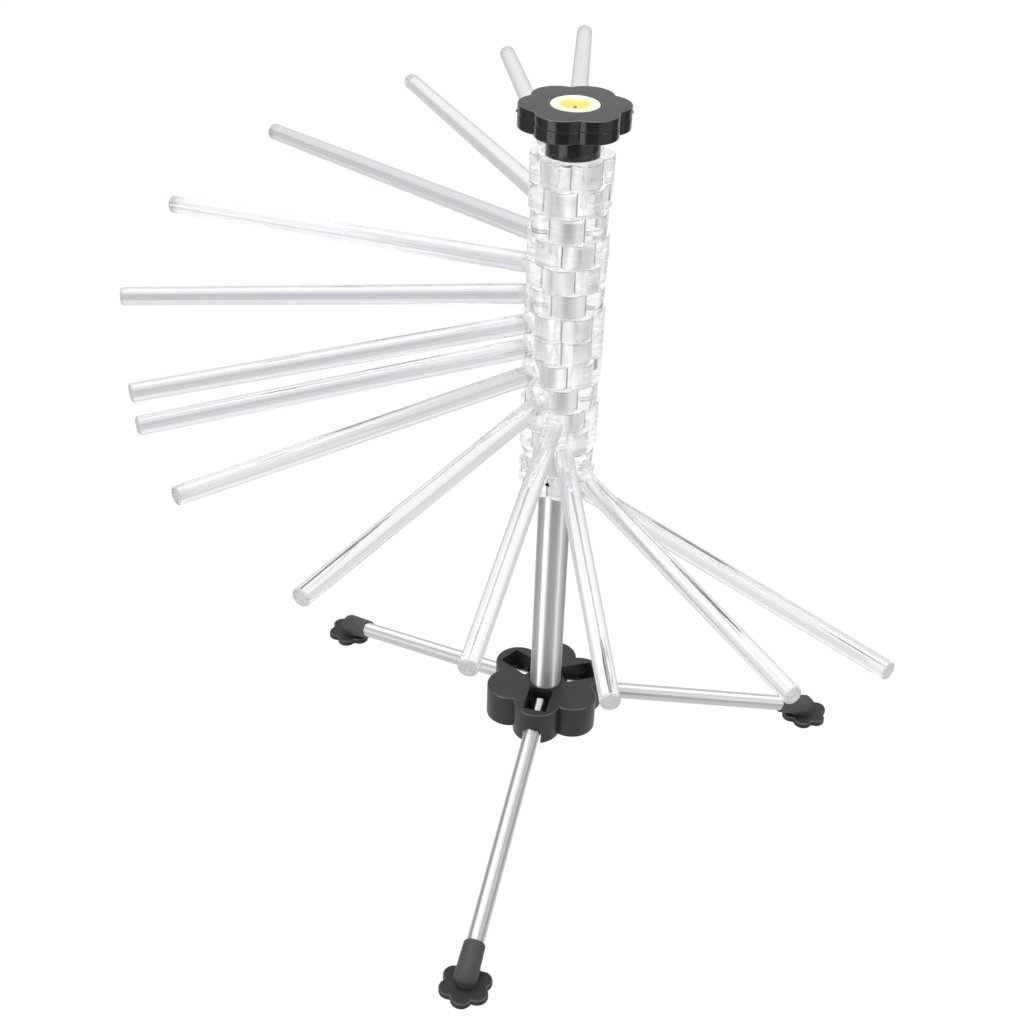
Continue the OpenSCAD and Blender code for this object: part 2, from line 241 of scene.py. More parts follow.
@dataclass(frozen=True)
class LobedOutline:
    """Six round lobes about an axis, as on the hub, the arms' hubs, the knob and the soles.

    Attributes:
        at: distance of a lobe's centre from the axis.
        radius: radius of a lobe.
        first: direction of one lobe in degrees.
        soft: how far a valley between lobes is filled, as from a rounded mould.
    """

    at: float
    radius: float
    first: float = 0.0
    soft: float = 0.25

    def reach(self, angle: np.ndarray, inset: float = 0.0) -> np.ndarray:
        """Distance of the outline from the axis: at cos a + sqrt((radius - inset)^2 - (at sin a)^2)
        for the nearest lobe and its neighbour, softly joined.

        Args:
            angle: directions in radians.
            inset: how far the outline is drawn in all round.

        Returns:
            One distance for each direction.
        """
        step = 2 * math.pi / LOBES
        off = np.abs((angle - math.radians(self.first) + step / 2) % step - step / 2)

        def lobe(a: np.ndarray) -> np.ndarray:
            """Return the reach of one lobe at an angle from its middle."""
            inside = (self.radius - inset) ** 2 - (self.at * np.sin(a)) ** 2
            return self.at * np.cos(a) + np.sqrt(np.maximum(inside, 0.0))

        return self.soft * np.logaddexp(lobe(off) / self.soft, lobe(step - off) / self.soft)

    def shell(self, profile: list[tuple[float, float, float]], loop: bool, columns: int = 144) -> Shell:
        """Carry a profile round the axis, each point between a circle and the lobed outline.

        Args:
            profile: triples of share, size and height. Where share is 1, size is the inset from the
                outline; where it is 0, size is a plain radius.
            loop: whether the profile closes on itself.
            columns: number of steps round.

        Returns:
            The surface.
        """
        t = np.linspace(0, 2 * math.pi, columns, endpoint=False)
        r = np.stack([self.reach(t, size) if share else np.full(columns, size) for share, size, _ in profile])
        z = np.array([height for *_, height in profile])
        rows = np.stack([r * np.cos(t), r * np.sin(t), np.outer(z, np.ones(columns))], -1)
        return Shell.grid(rows, loop)


def rim(z: float, size: float, start: float, end: float, steps: int = 6) -> list[tuple[float, float, float]]:
    """Profile points of a rounded edge of a lobed outline: inset size (1 - cos a), height z + size sin a.

    Args:
        z: height at which the rounding starts.
        size: radius of the rounding.
        start: first angle in degrees, 0 where the side is upright.
        end: last angle in degrees, 90 or -90 at a flat face.
        steps: number of straight steps.

    Returns:
        Triples for LobedOutline.shell.
    """
    angles = np.radians(np.linspace(start, end, steps + 1))
    return [(1, size * (1 - math.cos(a)), z + size * math.sin(a)) for a in angles]


def build_mesh(name: str, shell: Shell) -> bpy.types.Mesh:
    """Make a closed mesh in metres with outward faces from a surface in millimetres.

    Args:
        name: name of the mesh.
        shell: the surface.

    Returns:
        The mesh, its doubles merged and its normals recalculated.
    """
    mesh = bpy.data.meshes.new(name)
    count = len(shell.quads)
    mesh.vertices.add(len(shell.points))
    mesh.vertices.foreach_set("co", (shell.points * MM).astype(np.float32).ravel())
    mesh.loops.add(4 * count)
    mesh.loops.foreach_set("vertex_index", shell.quads.astype(np.int32).ravel())
    mesh.polygons.add(count)
    mesh.polygons.foreach_set("loop_start", np.arange(0, 4 * count, 4, dtype=np.int32))
    mesh.update(calc_edges=True)
    mesh.uv_layers.new(name="surface").data.foreach_set("uv", shell.uv.astype(np.float32).ravel())
    mesh.validate()
    work = bmesh.new()
    work.from_mesh(mesh)
    bmesh.ops.remove_doubles(work, verts=work.verts, dist=1e-6)
    bmesh.ops.recalc_face_normals(work, faces=work.faces)
    work.to_mesh(mesh)
    work.free()
    return mesh


def add_object(name: str, data: bpy.types.ID) -> bpy.types.Object:
    """Make an object at the origin that shows some data.

    Args:
        name: the object's name.
        data: a mesh, a lamp or a camera.

    Returns:
        The new object.
    """
    made = bpy.data.objects.new(name, data)
    bpy.context.scene.collection.objects.link(made)
    return made


def make_piece(name: str, shell: Shell) -> bpy.types.Object:
    """Return a new object at the origin that holds a surface."""
    return add_object(name, build_mesh(name, shell))


def combine(piece: bpy.types.Object, shells: list[Shell], how: Cut) -> None:
    """Join closed solids to a piece, or cut them out of it, one after the other.

    Args:
        piece: the object whose mesh changes.
        shells: the closed solids.
        how: whether they are added or removed.
    """
    for shell in shells:
        tool = make_piece(piece.name + "_tool", shell)
        step = piece.modifiers.new("combine", "BOOLEAN")
        step.operation, step.solver, step.object = how.value, "EXACT", tool
        apply_modifiers(piece)
        bpy.data.objects.remove(tool)


def apply_modifiers(piece: bpy.types.Object) -> None:
    """Swap a piece's mesh for the one its modifiers make, and drop the modifiers.

    Args:
        piece: the object whose mesh changes.
    """
    graph = bpy.context.evaluated_depsgraph_get()
    made = bpy.data.meshes.new_from_object(piece.evaluated_get(graph))
    old, piece.data = piece.data, made
    piece.modifiers.clear()
    bpy.data.meshes.remove(old)


def smooth(piece: bpy.types.Object, sharp_over: float = 32.0) -> None:
    """Shade a piece smooth, and keep its sharp edges.

    Args:
        piece: the object whose mesh is shaded.
        sharp_over: angle in degrees over which an edge stays sharp.
    """
    mesh = piece.data
    mesh.polygons.foreach_set("use_smooth", np.ones(len(mesh.polygons), bool))
    mesh.set_sharp_from_angle(angle=math.radians(sharp_over))


def paint(
    piece: bpy.types.Object,
    material: bpy.types.Material,
    heights: Span,
    slopes: Span,
    radii: Span = (0.0, math.inf),
) -> None:
    """Give a material to the faces between two heights whose normals rise between two slopes.

    Args:
        piece: the piece, which already has its main material.
        material: the material for those faces.
        heights: lowest and highest middle of such a face, in millimetres.
        slopes: lowest and highest upward part of its normal, 0 for an upright face and 1 for a flat top.
        radii: least and greatest distance of its middle from the Z axis, in millimetres.
    """
    mesh = piece.data
    count = len(mesh.polygons)
    normals, middles, index = np.zeros((count, 3), "f"), np.zeros((count, 3), "f"), np.zeros(count, "i")
    mesh.polygons.foreach_get("normal", normals.ravel())
    mesh.polygons.foreach_get("center", middles.ravel())
    mesh.polygons.foreach_get("material_index", index)
    if material.name not in mesh.materials:
        mesh.materials.append(material)
    away = np.hypot(middles[:, 0], middles[:, 1]) / MM
    measures = ((middles[:, 2] / MM, heights), (normals[:, 2], slopes), (away, radii))
    chosen = np.all([(value > low) & (value < high) for value, (low, high) in measures], axis=0)
    index[chosen] = mesh.materials.find(material.name)
    mesh.polygons.foreach_set("material_index", index)


def add_node(
    tree: bpy.types.NodeTree, kind: str, inputs: dict | tuple = (), out: int | str = 0, **settings
) -> Socket:
    """Add a shader node with its settings, values and links.

    Args:
        tree: the node tree.
        kind: the node's type name after "ShaderNode".
        inputs: values, or the outputs that feed them, in order or by the input's name or number.
        out: name or number of the output to return.
        **settings: attributes of the node.

    Returns:
        One of the node's outputs.
    """
    made = tree.nodes.new("ShaderNode" + kind)
    for key, value in settings.items():
        setattr(made, key, value)
    for key, value in inputs.items() if isinstance(inputs, dict) else enumerate(inputs):
        if isinstance(value, bpy.types.NodeSocket):
            tree.links.new(value, made.inputs[key])
        else:
            made.inputs[key].default_value = value
    return made.outputs[out]


def fill_tree(tree: bpy.types.NodeTree, kind: str, shader: Shader) -> None:
    """Empty a node tree, and lead a new shader to its output.

    Args:
        tree: the node tree.
        kind: the output node's type name after "ShaderNode".
        shader: adds nodes with the function that it gets, and returns the surface's shader.
    """
    tree.nodes.clear()
    output = tree.nodes.new("ShaderNode" + kind)
    tree.links.new(shader(partial(add_node, tree)), output.inputs["Surface"])


def new_material(name: str, shader: Shader) -> bpy.types.Material:
    """Make a material.

    Args:
        name: the material's name.
        shader: makes its shader, as fill_tree says.

    Returns:
        The new material.
    """
    material = bpy.data.materials.new(name)
    material.use_nodes = True
    fill_tree(material.node_tree, "OutputMaterial", shader)
    return material


class Finish:
    """A material that starts from what the real one is and how its surface was made."""

    name: str

    def shader(self, add: Add) -> Socket:
        """Return the surface's shader, made with a tree's own add_node."""
        raise NotImplementedError

    def away(self, add: Add, place: Socket) -> Socket:
        """Return the distance of a place from the Z axis."""
        flat = add("Mapping", {"Vector": place, "Scale": (1.0, 1.0, 0.0)})
        return add("VectorMath", (flat,), "Value", operation="LENGTH")

    def material(self) -> bpy.types.Material:
        """Return the material."""
        return new_material(self.name, self.shader)


@dataclass(frozen=True)
class ClearPlastic(Finish):
    """Injection-moulded crystal polystyrene: glossy, with faint marks of flow.

    The long solid rods have a painted pale grey shade along their flanks, as do the hubs where a lobe
    is thickest, and both a painted dark line where their surface turns away: painted shade for the
    grey that refraction gives them. The bores are left matt by the mould's core.

    Colours are what is left of white light. Pairs of colours, shades and rims are in turn for a hub
    and for a rod. Distances are in millimetres from the pole's axis, and facings run from 0 where the
    surface faces the eye to 1 along its outline.

    Attributes:
        name: the material's name.
        colours: the thin parts' colours.
        painted_shade_colours: painted shade on a lobe's crest and on a rod's flank.
        rim_shade_colours: painted shade of surfaces seen at a glancing angle, a dark outline.
        end_shade_colour: painted shade on a rod's flat end.
        crest: distances over which a lobe gets its crest's painted shade.
        flank: upward parts of the normal over which a rod's painted shade begins, and over which it ends.
        flank_streaks: streak heights and the shares of the flank's painted shade they give.
        shades: streak heights and the shades they give.
        rims: facings over which the rim's painted shade sets in.
        outline: facings over which the painted glow along a rod's outline sets in.
        hub_r: distance at which the hubs end.
        tip: distances over which a rod's end gets its painted shade.
        bore: distances over which the matt bore changes to the polished outside.
        ior: refractive index, 1.57 to 1.59 for polystyrene.
        roughness: polish of the mould.
        bore_roughness: roughness that the mould's core leaves.
        wave_mm: spacing of the flow waves.
        streak_mm: spacing of the fine streaks that run along a rod and round a hub.
        streak_run: how close the streaks lie along each part of the map, against that spacing.
        clearness: share of light that goes straight through a surface, the rest is scattered diffusely.
        deepest: number of bounces after which a ray meets a painted glow of the stack's mean tone.
        glow_tone: strength of that painted glow, for the light that a stack of hubs passes round inside it.
        edge_glow: share of that painted glow along a rod's outline, where light takes too many ways to tell
            apart.
        end_glow: share of that painted glow on a rod's flat end.
        soft_colour: what is left of the soft light that goes straight through.
    """

    name: str = "crystal_polystyrene_moulded"
    colours: tuple[str, str] = ("#FEFEFE", "#FCFCFD")
    painted_shade_colours: tuple[str, str] = ("#CFD0D2", "#C4C6CA")
    rim_shade_colours: tuple[str, str] = ("#CCCDCF", "#A6A8AC")
    end_shade_colour: str = "#B9BABD"
    crest: Span = (20.7, 21.6)
    flank: tuple[Span, Span] = ((-0.2, 0.1), (0.6, 0.7))
    flank_streaks: tuple[float, ...] = (0.35, 0.6, 0.45, 1.0)
    shades: tuple[tuple[float, ...], ...] = ((0.38, 0.5, 0.93, 1.0), (0.35, 0.55, 0.86, 1.0))
    rims: tuple[Span, Span] = ((0.6, 0.85), (0.45, 0.9))
    outline: Span = (0.6, 0.9)
    hub_r: float = 24.0
    tip: Span = (230.2, 231.1)
    bore: Span = (10.5, 13.5)
    ior: float = 1.5
    roughness: float = 0.03
    bore_roughness: float = 0.12
    wave_mm: float = 25.0
    streak_mm: float = 1.3
    streak_run: tuple[Span, Span] = ((1.0, 0.03), (0.002, 1.0))
    clearness: float = 0.93
    deepest: float = 3.5
    glow_tone: float = 1.2
    edge_glow: float = 0.7
    end_glow: float = 0.55
    soft_colour: str = "#F6F6F6"

    def tint(
        self, add: Add, away: Socket, share: Socket, streaks: Socket, tip: Socket, facing: Socket
    ) -> Socket:
        """Return the colour that a surface leaves of white light, with painted shade on it.

        Args:
            add: adds a node.
            away: distance from the pole's axis.
            share: 0 on a hub, 1 on a rod.
            streaks: the streaks' height, about 0.5 in the mean.
            tip: 1 on a rod's end.
            facing: 0 where the surface faces the eye, 1 along its outline.

        Returns:
            The colour.
        """
        # Painted shade: a rod greyer on its flanks, where its normal points neither up nor down.
        upward = add("SeparateXYZ", (add("TexCoord", out="Normal"),), "Z")
        flank = add("MapRange", (upward, *self.flank[0]))
        for value in ((upward, *self.flank[1], 1.0, 0.0), (streaks, *self.flank_streaks)):
            flank = add("Math", (flank, add("MapRange", value)), operation="MULTIPLY")
        kinds = []
        # Painted shade on a lobe's crest, by its distance from the axis, and on a rod's flank.
        for kind, painted_shade in enumerate((add("MapRange", (away, *metres(self.crest))), flank)):
            thin, deep, last = (linear(c[kind]) for c in (self.colours, self.painted_shade_colours, self.rim_shade_colours))
            colour = add("Mix", {0: painted_shade, 6: thin, 7: deep}, **COLOURS)
            shade = add("MapRange", (streaks, *self.shades[kind]))
            colour = add("VectorMath", {0: colour, "Scale": shade}, operation="SCALE")
            # Painted shade: a rod's flat end greyer.
            colour = add("Mix", {0: tip, 6: colour, 7: linear(self.end_shade_colour)}, **COLOURS)
            # Painted shade: a dark outline where the surface turns away.
            rim = add("MapRange", (facing, *self.rims[kind]))
            kinds.append(add("Mix", {0: rim, 6: colour, 7: last}, **COLOURS))
        return add("Mix", {0: share, 6: kinds[0], 7: kinds[1]}, **COLOURS)

    def streaks(self, add: Add, share: Socket) -> Socket:
        """Add fine streaks that run along a rod, and round a hub.

        Args:
            add: adds a node to the tree.
            share: 0 on a hub, 1 on a rod.

        Returns:
            The streaks' height, about 0.5 in the mean.
        """
        hub, rod = ((x / self.streak_mm, y / self.streak_mm, 1.0) for x, y in self.streak_run)
        scale = add("Mix", {0: share, 4: hub, 5: rod}, 1, data_type="VECTOR")
        along = add("VectorMath", (add("UVMap", uv_map="surface"), scale), operation="MULTIPLY")
        return add("TexNoise", {"Vector": along, "Scale": 1.0, "Detail": 1.0})

    def relief(self, add: Add, place: Socket, share: Socket, streaks: Socket) -> Socket:
        """Add flow waves to a surface, and on hubs fine streaks too.

        Args:
            add: adds a node to the tree.
            place: the place on the surface.
            share: 0 on a hub, 1 on a rod.
            streaks: the streaks' height.

        Returns:
            The surface's normal.
        """
        waves = add("TexNoise", {"Vector": place, "Scale": 1 / (self.wave_mm * MM), "Detail": 1.0})
        height = add("Mix", {0: share, 2: streaks, 3: 0.5})
        lines = add("Bump", {"Height": height, "Strength": 0.12, "Distance": 0.0004})
        return add("Bump", {"Height": waves, "Strength": 0.03, "Distance": 0.0006, "Normal": lines})

    def shader(self, add: Add) -> Socket:
        """Make tinted glass with a painted Emission glow of the stack's mean tone deep inside and on rods'
        outlines and ends, which lets soft light through.

        Args:
            add: adds a node to the tree.

        Returns:
            The shader.
        """
        place = add("TexCoord", out="Object")
        away = self.away(add, place)
        share = add("MapRange", (away, *metres((self.hub_r - 1, self.hub_r + 1))))
        tip = add("MapRange", (away, *metres(self.tip)))
        facing = add("LayerWeight", {"Blend": 0.5}, "Facing")
        streaks = self.streaks(add, share)
        colour = self.tint(add, away, share, streaks, tip, facing)
        polish = (away, *metres(self.bore), self.bore_roughness, self.roughness)
        glass = {
            "Base Color": colour,
            "Roughness": add("MapRange", polish),
            "IOR": self.ior,
            "Transmission Weight": self.clearness,
            "Normal": self.relief(add, place, share, streaks),
        }
        path = add("LightPath").node.outputs
        # Painted light: an Emission glow of the surface's colour on a rod's outline and end, and deep in the
        # stack.
        end = add("Math", (tip, self.end_glow), operation="MULTIPLY")
        edge = add("MapRange", (facing, *self.outline, 0.0, self.edge_glow))
        glow_share = add("Math", (add("Math", (edge, end), operation="MAXIMUM"), share), operation="MULTIPLY")
        deep = add("Math", (path["Ray Depth"], self.deepest), operation="GREATER_THAN")
        deep = add("Math", (glow_share, deep), operation="MAXIMUM")
        glow = add("Emission", {"Color": colour, "Strength": self.glow_tone})
        settled = add("MixShader", (deep, add("BsdfPrincipled", glass), glow))
        soft = add("Math", (path["Is Shadow Ray"], path["Is Diffuse Ray"]), operation="MAXIMUM")
        return add("MixShader", (soft, settled, add("BsdfTransparent", {"Color": linear(self.soft_colour)})))


@dataclass(frozen=True)
class GroundSteel(Finish):
    """Stainless tube ground round its girth: bands of light run along it, broken by fine lines.

    Attributes:
        name: the material's name.
        colour: reflected colour of stainless steel.
        line_colour: reflected colour down in the grinding lines.
        roughness: mean roughness of the ground surface.
        stretch: how far highlights are drawn out along the tube.
        line_mm: spacing of the grinding lines, drawn coarser than the real 0.05 mm so that they show.
        inside_light_colour: painted light, a paler colour on the pole within the arms' stack, seen through
            the clear hubs.
        inside_light_z: heights in millimetres over which that painted light sets in.
    """

    name: str = "stainless_tube_ground"
    colour: str = "#D7D5D4"
    line_colour: str = "#8F8C8A"
    roughness: float = 0.45
    stretch: float = 1.0
    line_mm: float = 0.5
    inside_light_colour: str = "#F3F3F3"
    inside_light_z: Span = (165.0, 169.0)

    def shader(self, add: Add) -> Socket:
        """Make brushed metal whose highlights follow the tube's own map.

        Args:
            add: adds a node to the tree.

        Returns:
            The shader.
        """
        scale = (1 / self.line_mm, 0.04 / self.line_mm, 1.0)
        stretched = add("Mapping", {"Vector": add("UVMap", uv_map="surface"), "Scale": scale})
        lines = add("TexNoise", {"Vector": stretched, "Scale": 1.0, "Detail": 3.0})
        tone = add("MapRange", (lines, *NOISE_SPAN, 0.94, 1.0))
        colour = add("Mix", {0: tone, 6: linear(self.line_colour), 7: linear(self.colour)}, **COLOURS)
        height = add("SeparateXYZ", (add("TexCoord", out="Object"),), "Z")
        # Painted light: the pole paler where it runs inside the clear stack.
        inside_light = add("MapRange", (height, *metres(self.inside_light_z)))
        metal = {
            "Base Color": add("Mix", {0: inside_light, 6: colour, 7: linear(self.inside_light_colour)}, **COLOURS),
            "Metallic": 1.0,
            "Roughness": self.roughness,
            "Anisotropic": self.stretch,
            "Normal": add("Bump", {"Height": lines, "Strength": 0.06, "Distance": 0.0001}),
            "Tangent": add("Tangent", direction_type="UV_MAP", uv_map="surface"),
        }
        return add("BsdfPrincipled", metal)


@dataclass(frozen=True)
class Moulding(Finish):
    """Opaque moulded plastic or rubber with a fine grain from its mould.

    Attributes:
        name: the material's name.
        colour: its colour.
        shade: a darker tone that the grain's hollows take.
        roughness: roughness between the grain's marks.
        ior: refractive index.
        grain_mm: spacing of the grain, drawn coarse enough to show.
        relief: how strongly the grain tilts the surface.
        broad: patches of tone in a metre.
        spread: shares of the roughness down in the grain and up on it.
    """

    name: str
    colour: str
    shade: str
    roughness: float
    ior: float
    grain_mm: float
    relief: float
    broad: float = 70.0
    spread: Span = (0.9, 1.12)

    def shader(self, add: Add) -> Socket:
        """Make an opaque surface with patches of tone and a grain.

        Args:
            add: adds a node to the tree.

        Returns:
            The shader.
        """
        place = add("TexCoord", out="Object")
        grain = add("TexNoise", {"Vector": place, "Scale": 1 / (self.grain_mm * MM), "Detail": 3.0})
        patches = add("TexNoise", {"Vector": place, "Scale": self.broad, "Detail": 2.0})
        tone = add("MapRange", (patches, *NOISE_SPAN))
        spread = (grain, *NOISE_SPAN, *(share * self.roughness for share in self.spread))
        plastic = {
            "Base Color": add("Mix", {0: tone, 6: linear(self.shade), 7: linear(self.colour)}, **COLOURS),
            "Roughness": add("MapRange", spread),
            "IOR": self.ior,
            "Normal": add("Bump", {"Height": grain, "Strength": self.relief, "Distance": 0.0002}),
        }
        return add("BsdfPrincipled", plastic)


@dataclass(frozen=True)
class CapPlastic(Finish):
    """Ivory polypropylene: near white where it is thin and lit, warm yellow down in the dish, a painted
    shade.

    Attributes:
        name: the material's name.
        colour: its colour on the rim.
        dish_shade_colour: its colour in the dish, a painted shade.
        dish: radii in millimetres over which the dish's painted shade ends.
        hole_r: radius in millimetres inside which its middle is painted dark, as shade in the hole there.
        hole_shade_colour: the painted shade down in that hole.
        grain: marks of the mould's grain in a metre.
    """

    name: str = "polypropylene_ivory"
    colour: str = "#F5F2D6"
    dish_shade_colour: str = "#EDD56C"
    dish: Span = (6.02, 9.03)
    hole_r: float = 1.05
    hole_shade_colour: str = "#0E0B05"
    grain: float = 2500.0

    def shader(self, add: Add) -> Socket:
        """Make an opaque surface coloured by its distance from the cap's axis.

        Args:
            add: adds a node to the tree.

        Returns:
            The shader.
        """
        place = add("TexCoord", out="Object")
        away = self.away(add, place)
        # Painted shade: the dish a deeper yellow than the rim.
        share = add("MapRange", (away, *metres(self.dish)), interpolation_type="SMOOTHSTEP")
        colour = add("Mix", {0: share, 6: linear(self.dish_shade_colour), 7: linear(self.colour)}, **COLOURS)
        # Painted shade: near black in the small hole at the middle.
        hole = add("Math", (away, self.hole_r * MM), operation="LESS_THAN")
        grain = add("TexNoise", {"Vector": place, "Scale": self.grain, "Detail": 2.0})
        plastic = {
            "Base Color": add("Mix", {0: hole, 6: colour, 7: linear(self.hole_shade_colour)}, **COLOURS),
            "Roughness": 0.34,
            "IOR": 1.49,
            "Normal": add("Bump", {"Height": grain, "Strength": 0.03, "Distance": 0.0002}),
        }
        return add("BsdfPrincipled", plastic)


@dataclass(frozen=True)
class ScrewMetal(Finish):
    """Small turned steel parts: zinc-bright or oiled black, with faint tool marks.

    Attributes:
        name: the material's name.
        colour: reflected colour.
        roughness: roughness of the turned surface.
        marks: tool marks in a metre.
    """

    name: str
    colour: str
    roughness: float
    marks: float = 1800.0

    def shader(self, add: Add) -> Socket:
        """Make metal with tool marks.

        Args:
            add: adds a node to the tree.

        Returns:
            The shader.
        """
        marks = add("TexNoise", {"Vector": add("TexCoord", out="Object"), "Scale": self.marks, "Detail": 3.0})
        metal = {
            "Base Color": linear(self.colour),
            "Metallic": 1.0,
            "Roughness": self.roughness,
            "Normal": add("Bump", {"Height": marks, "Strength": 0.08, "Distance": 0.0001}),
        }
        return add("BsdfPrincipled", metal)


FITTINGS = {
    "hub": ("base_cover", "pole_plug", "top_bush"),
    "zinc": ("cover_screws", "base_screw", "leg_pin_front", "leg_pin_right", "leg_pin_left"),
    "black_screw": ("arm_screw",),
    "wand": ("wand_rod",),
}
FINISHES = {
    "clear": ClearPlastic(),
    # Painted shade: edges and valleys of the clear hubs painted dark, where the plastic bends light away and
    # looks dark.
    "clear_edge_shade": ClearPlastic("crystal_polystyrene_edge_shade", ("#77787B", "#FCFCFD"), ("#77787B", "#C4C6CA")),
    "steel": GroundSteel(),
    # Nylon from a sparked mould: an even black without mirror images.
    "hub": Moulding("nylon_black_matt", "#272728", "#202021", 0.38, 1.4, 0.35, 0.12),
    # Painted highlights: rounded top edges painted lighter, for the thin bright line that they catch.
    "hub_edge": Moulding("nylon_black_edge_highlight", "#48484A", "#3C3C3E", 0.24, 1.5, 0.8, 0.04),
    "knob_edge": Moulding("abs_black_edge_highlight", "#505052", "#444446", 0.2, 1.5, 0.8, 0.02),
    # ABS from a polished mould mirrors the room, and from an etched one it only shines faintly. The etched
    # top is also a painted sheen: its colour lighter than the glossy sides'.
    "knob_side": Moulding("abs_black_glossy", "#18181A", "#141415", 0.12, 1.5, 0.8, 0.02),
    "knob_top": Moulding("abs_black_satin", "#28282A", "#222224", 0.42, 1.42, 0.3, 0.15),
    # Rubber: the sleeve has a grey bloom, the denser sole stays deep black but for its rim, painted lighter
    # as a highlight.
    "rubber": Moulding("rubber_black", "#434345", "#38383A", 0.66, 1.52, 0.5, 0.2),
    "sole": Moulding("rubber_black_dense", "#151517", "#111113", 0.6, 1.45, 0.5, 0.2),
    "sole_rim_highlight": Moulding("rubber_black_rim_highlight", "#4C4C4E", "#444446", 0.6, 1.5, 0.5, 0.2),
    "cap": CapPlastic(),
    # Polypropylene: waxy, with soft broad highlights.
    "wand": Moulding("polypropylene_rod", "#F5F2D6", "#EFEAC4", 0.34, 1.49, 0.8, 0.03),
    "zinc": ScrewMetal("steel_zinc_bright", "#B9BABD", 0.28),
    "black_screw": ScrewMetal("steel_black_oxide", "#2A2A2C", 0.4),
}


def dress(
    piece: bpy.types.Object, material: bpy.types.Material, body: str, nodes: tuple[str, ...]
) -> None:
    """Shade a finished piece smooth, and give it its material, slot, body and the nodes it stands for.

    Args:
        piece: the new piece, in place.
        material: its material.
        body: the body it rides on.
        nodes: the CAD nodes that it replaces.
    """
    smooth(piece)
    if not piece.data.materials:
        piece.data.materials.append(material)
    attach(piece, body)
    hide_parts(*nodes)
    log.info("%s stands for %s on %s, %d faces", piece.name, ", ".join(nodes), body, len(piece.data.polygons))


@dataclass
class Tube:
    """A round tube with softened ends, lying along its own X axis.

    Attributes:
        radius: outer radius.
        wall: wall thickness.
        start: where it begins along X.
        end: where it ends along X.
        edge: rounding of its ends.
        columns: number of steps round it.
    """

    radius: float
    wall: float
    start: float
    end: float
    edge: float = 0.25
    columns: int = 96

    def shell(self) -> Shell:
        """Work out the tube: an outer and an inner cylinder joined by rounded ends.

        Returns:
            The closed surface.
        """
        inner, e = self.radius - self.wall, self.edge
        mid = np.linspace(self.start + 2 * e, self.end - 2 * e, 12)[1:-1]
        profile = (
            fillet(self.radius - e, self.start + e, e, 270, 360, 3)
            + [(self.radius, x) for x in mid]
            + fillet(self.radius - e, self.end - e, e, 0, 90, 3)
            + [(inner, self.end), (inner, self.start)]
        )
        return revolve(profile, self.columns, loop=True).placed(turn(90, "Y"))


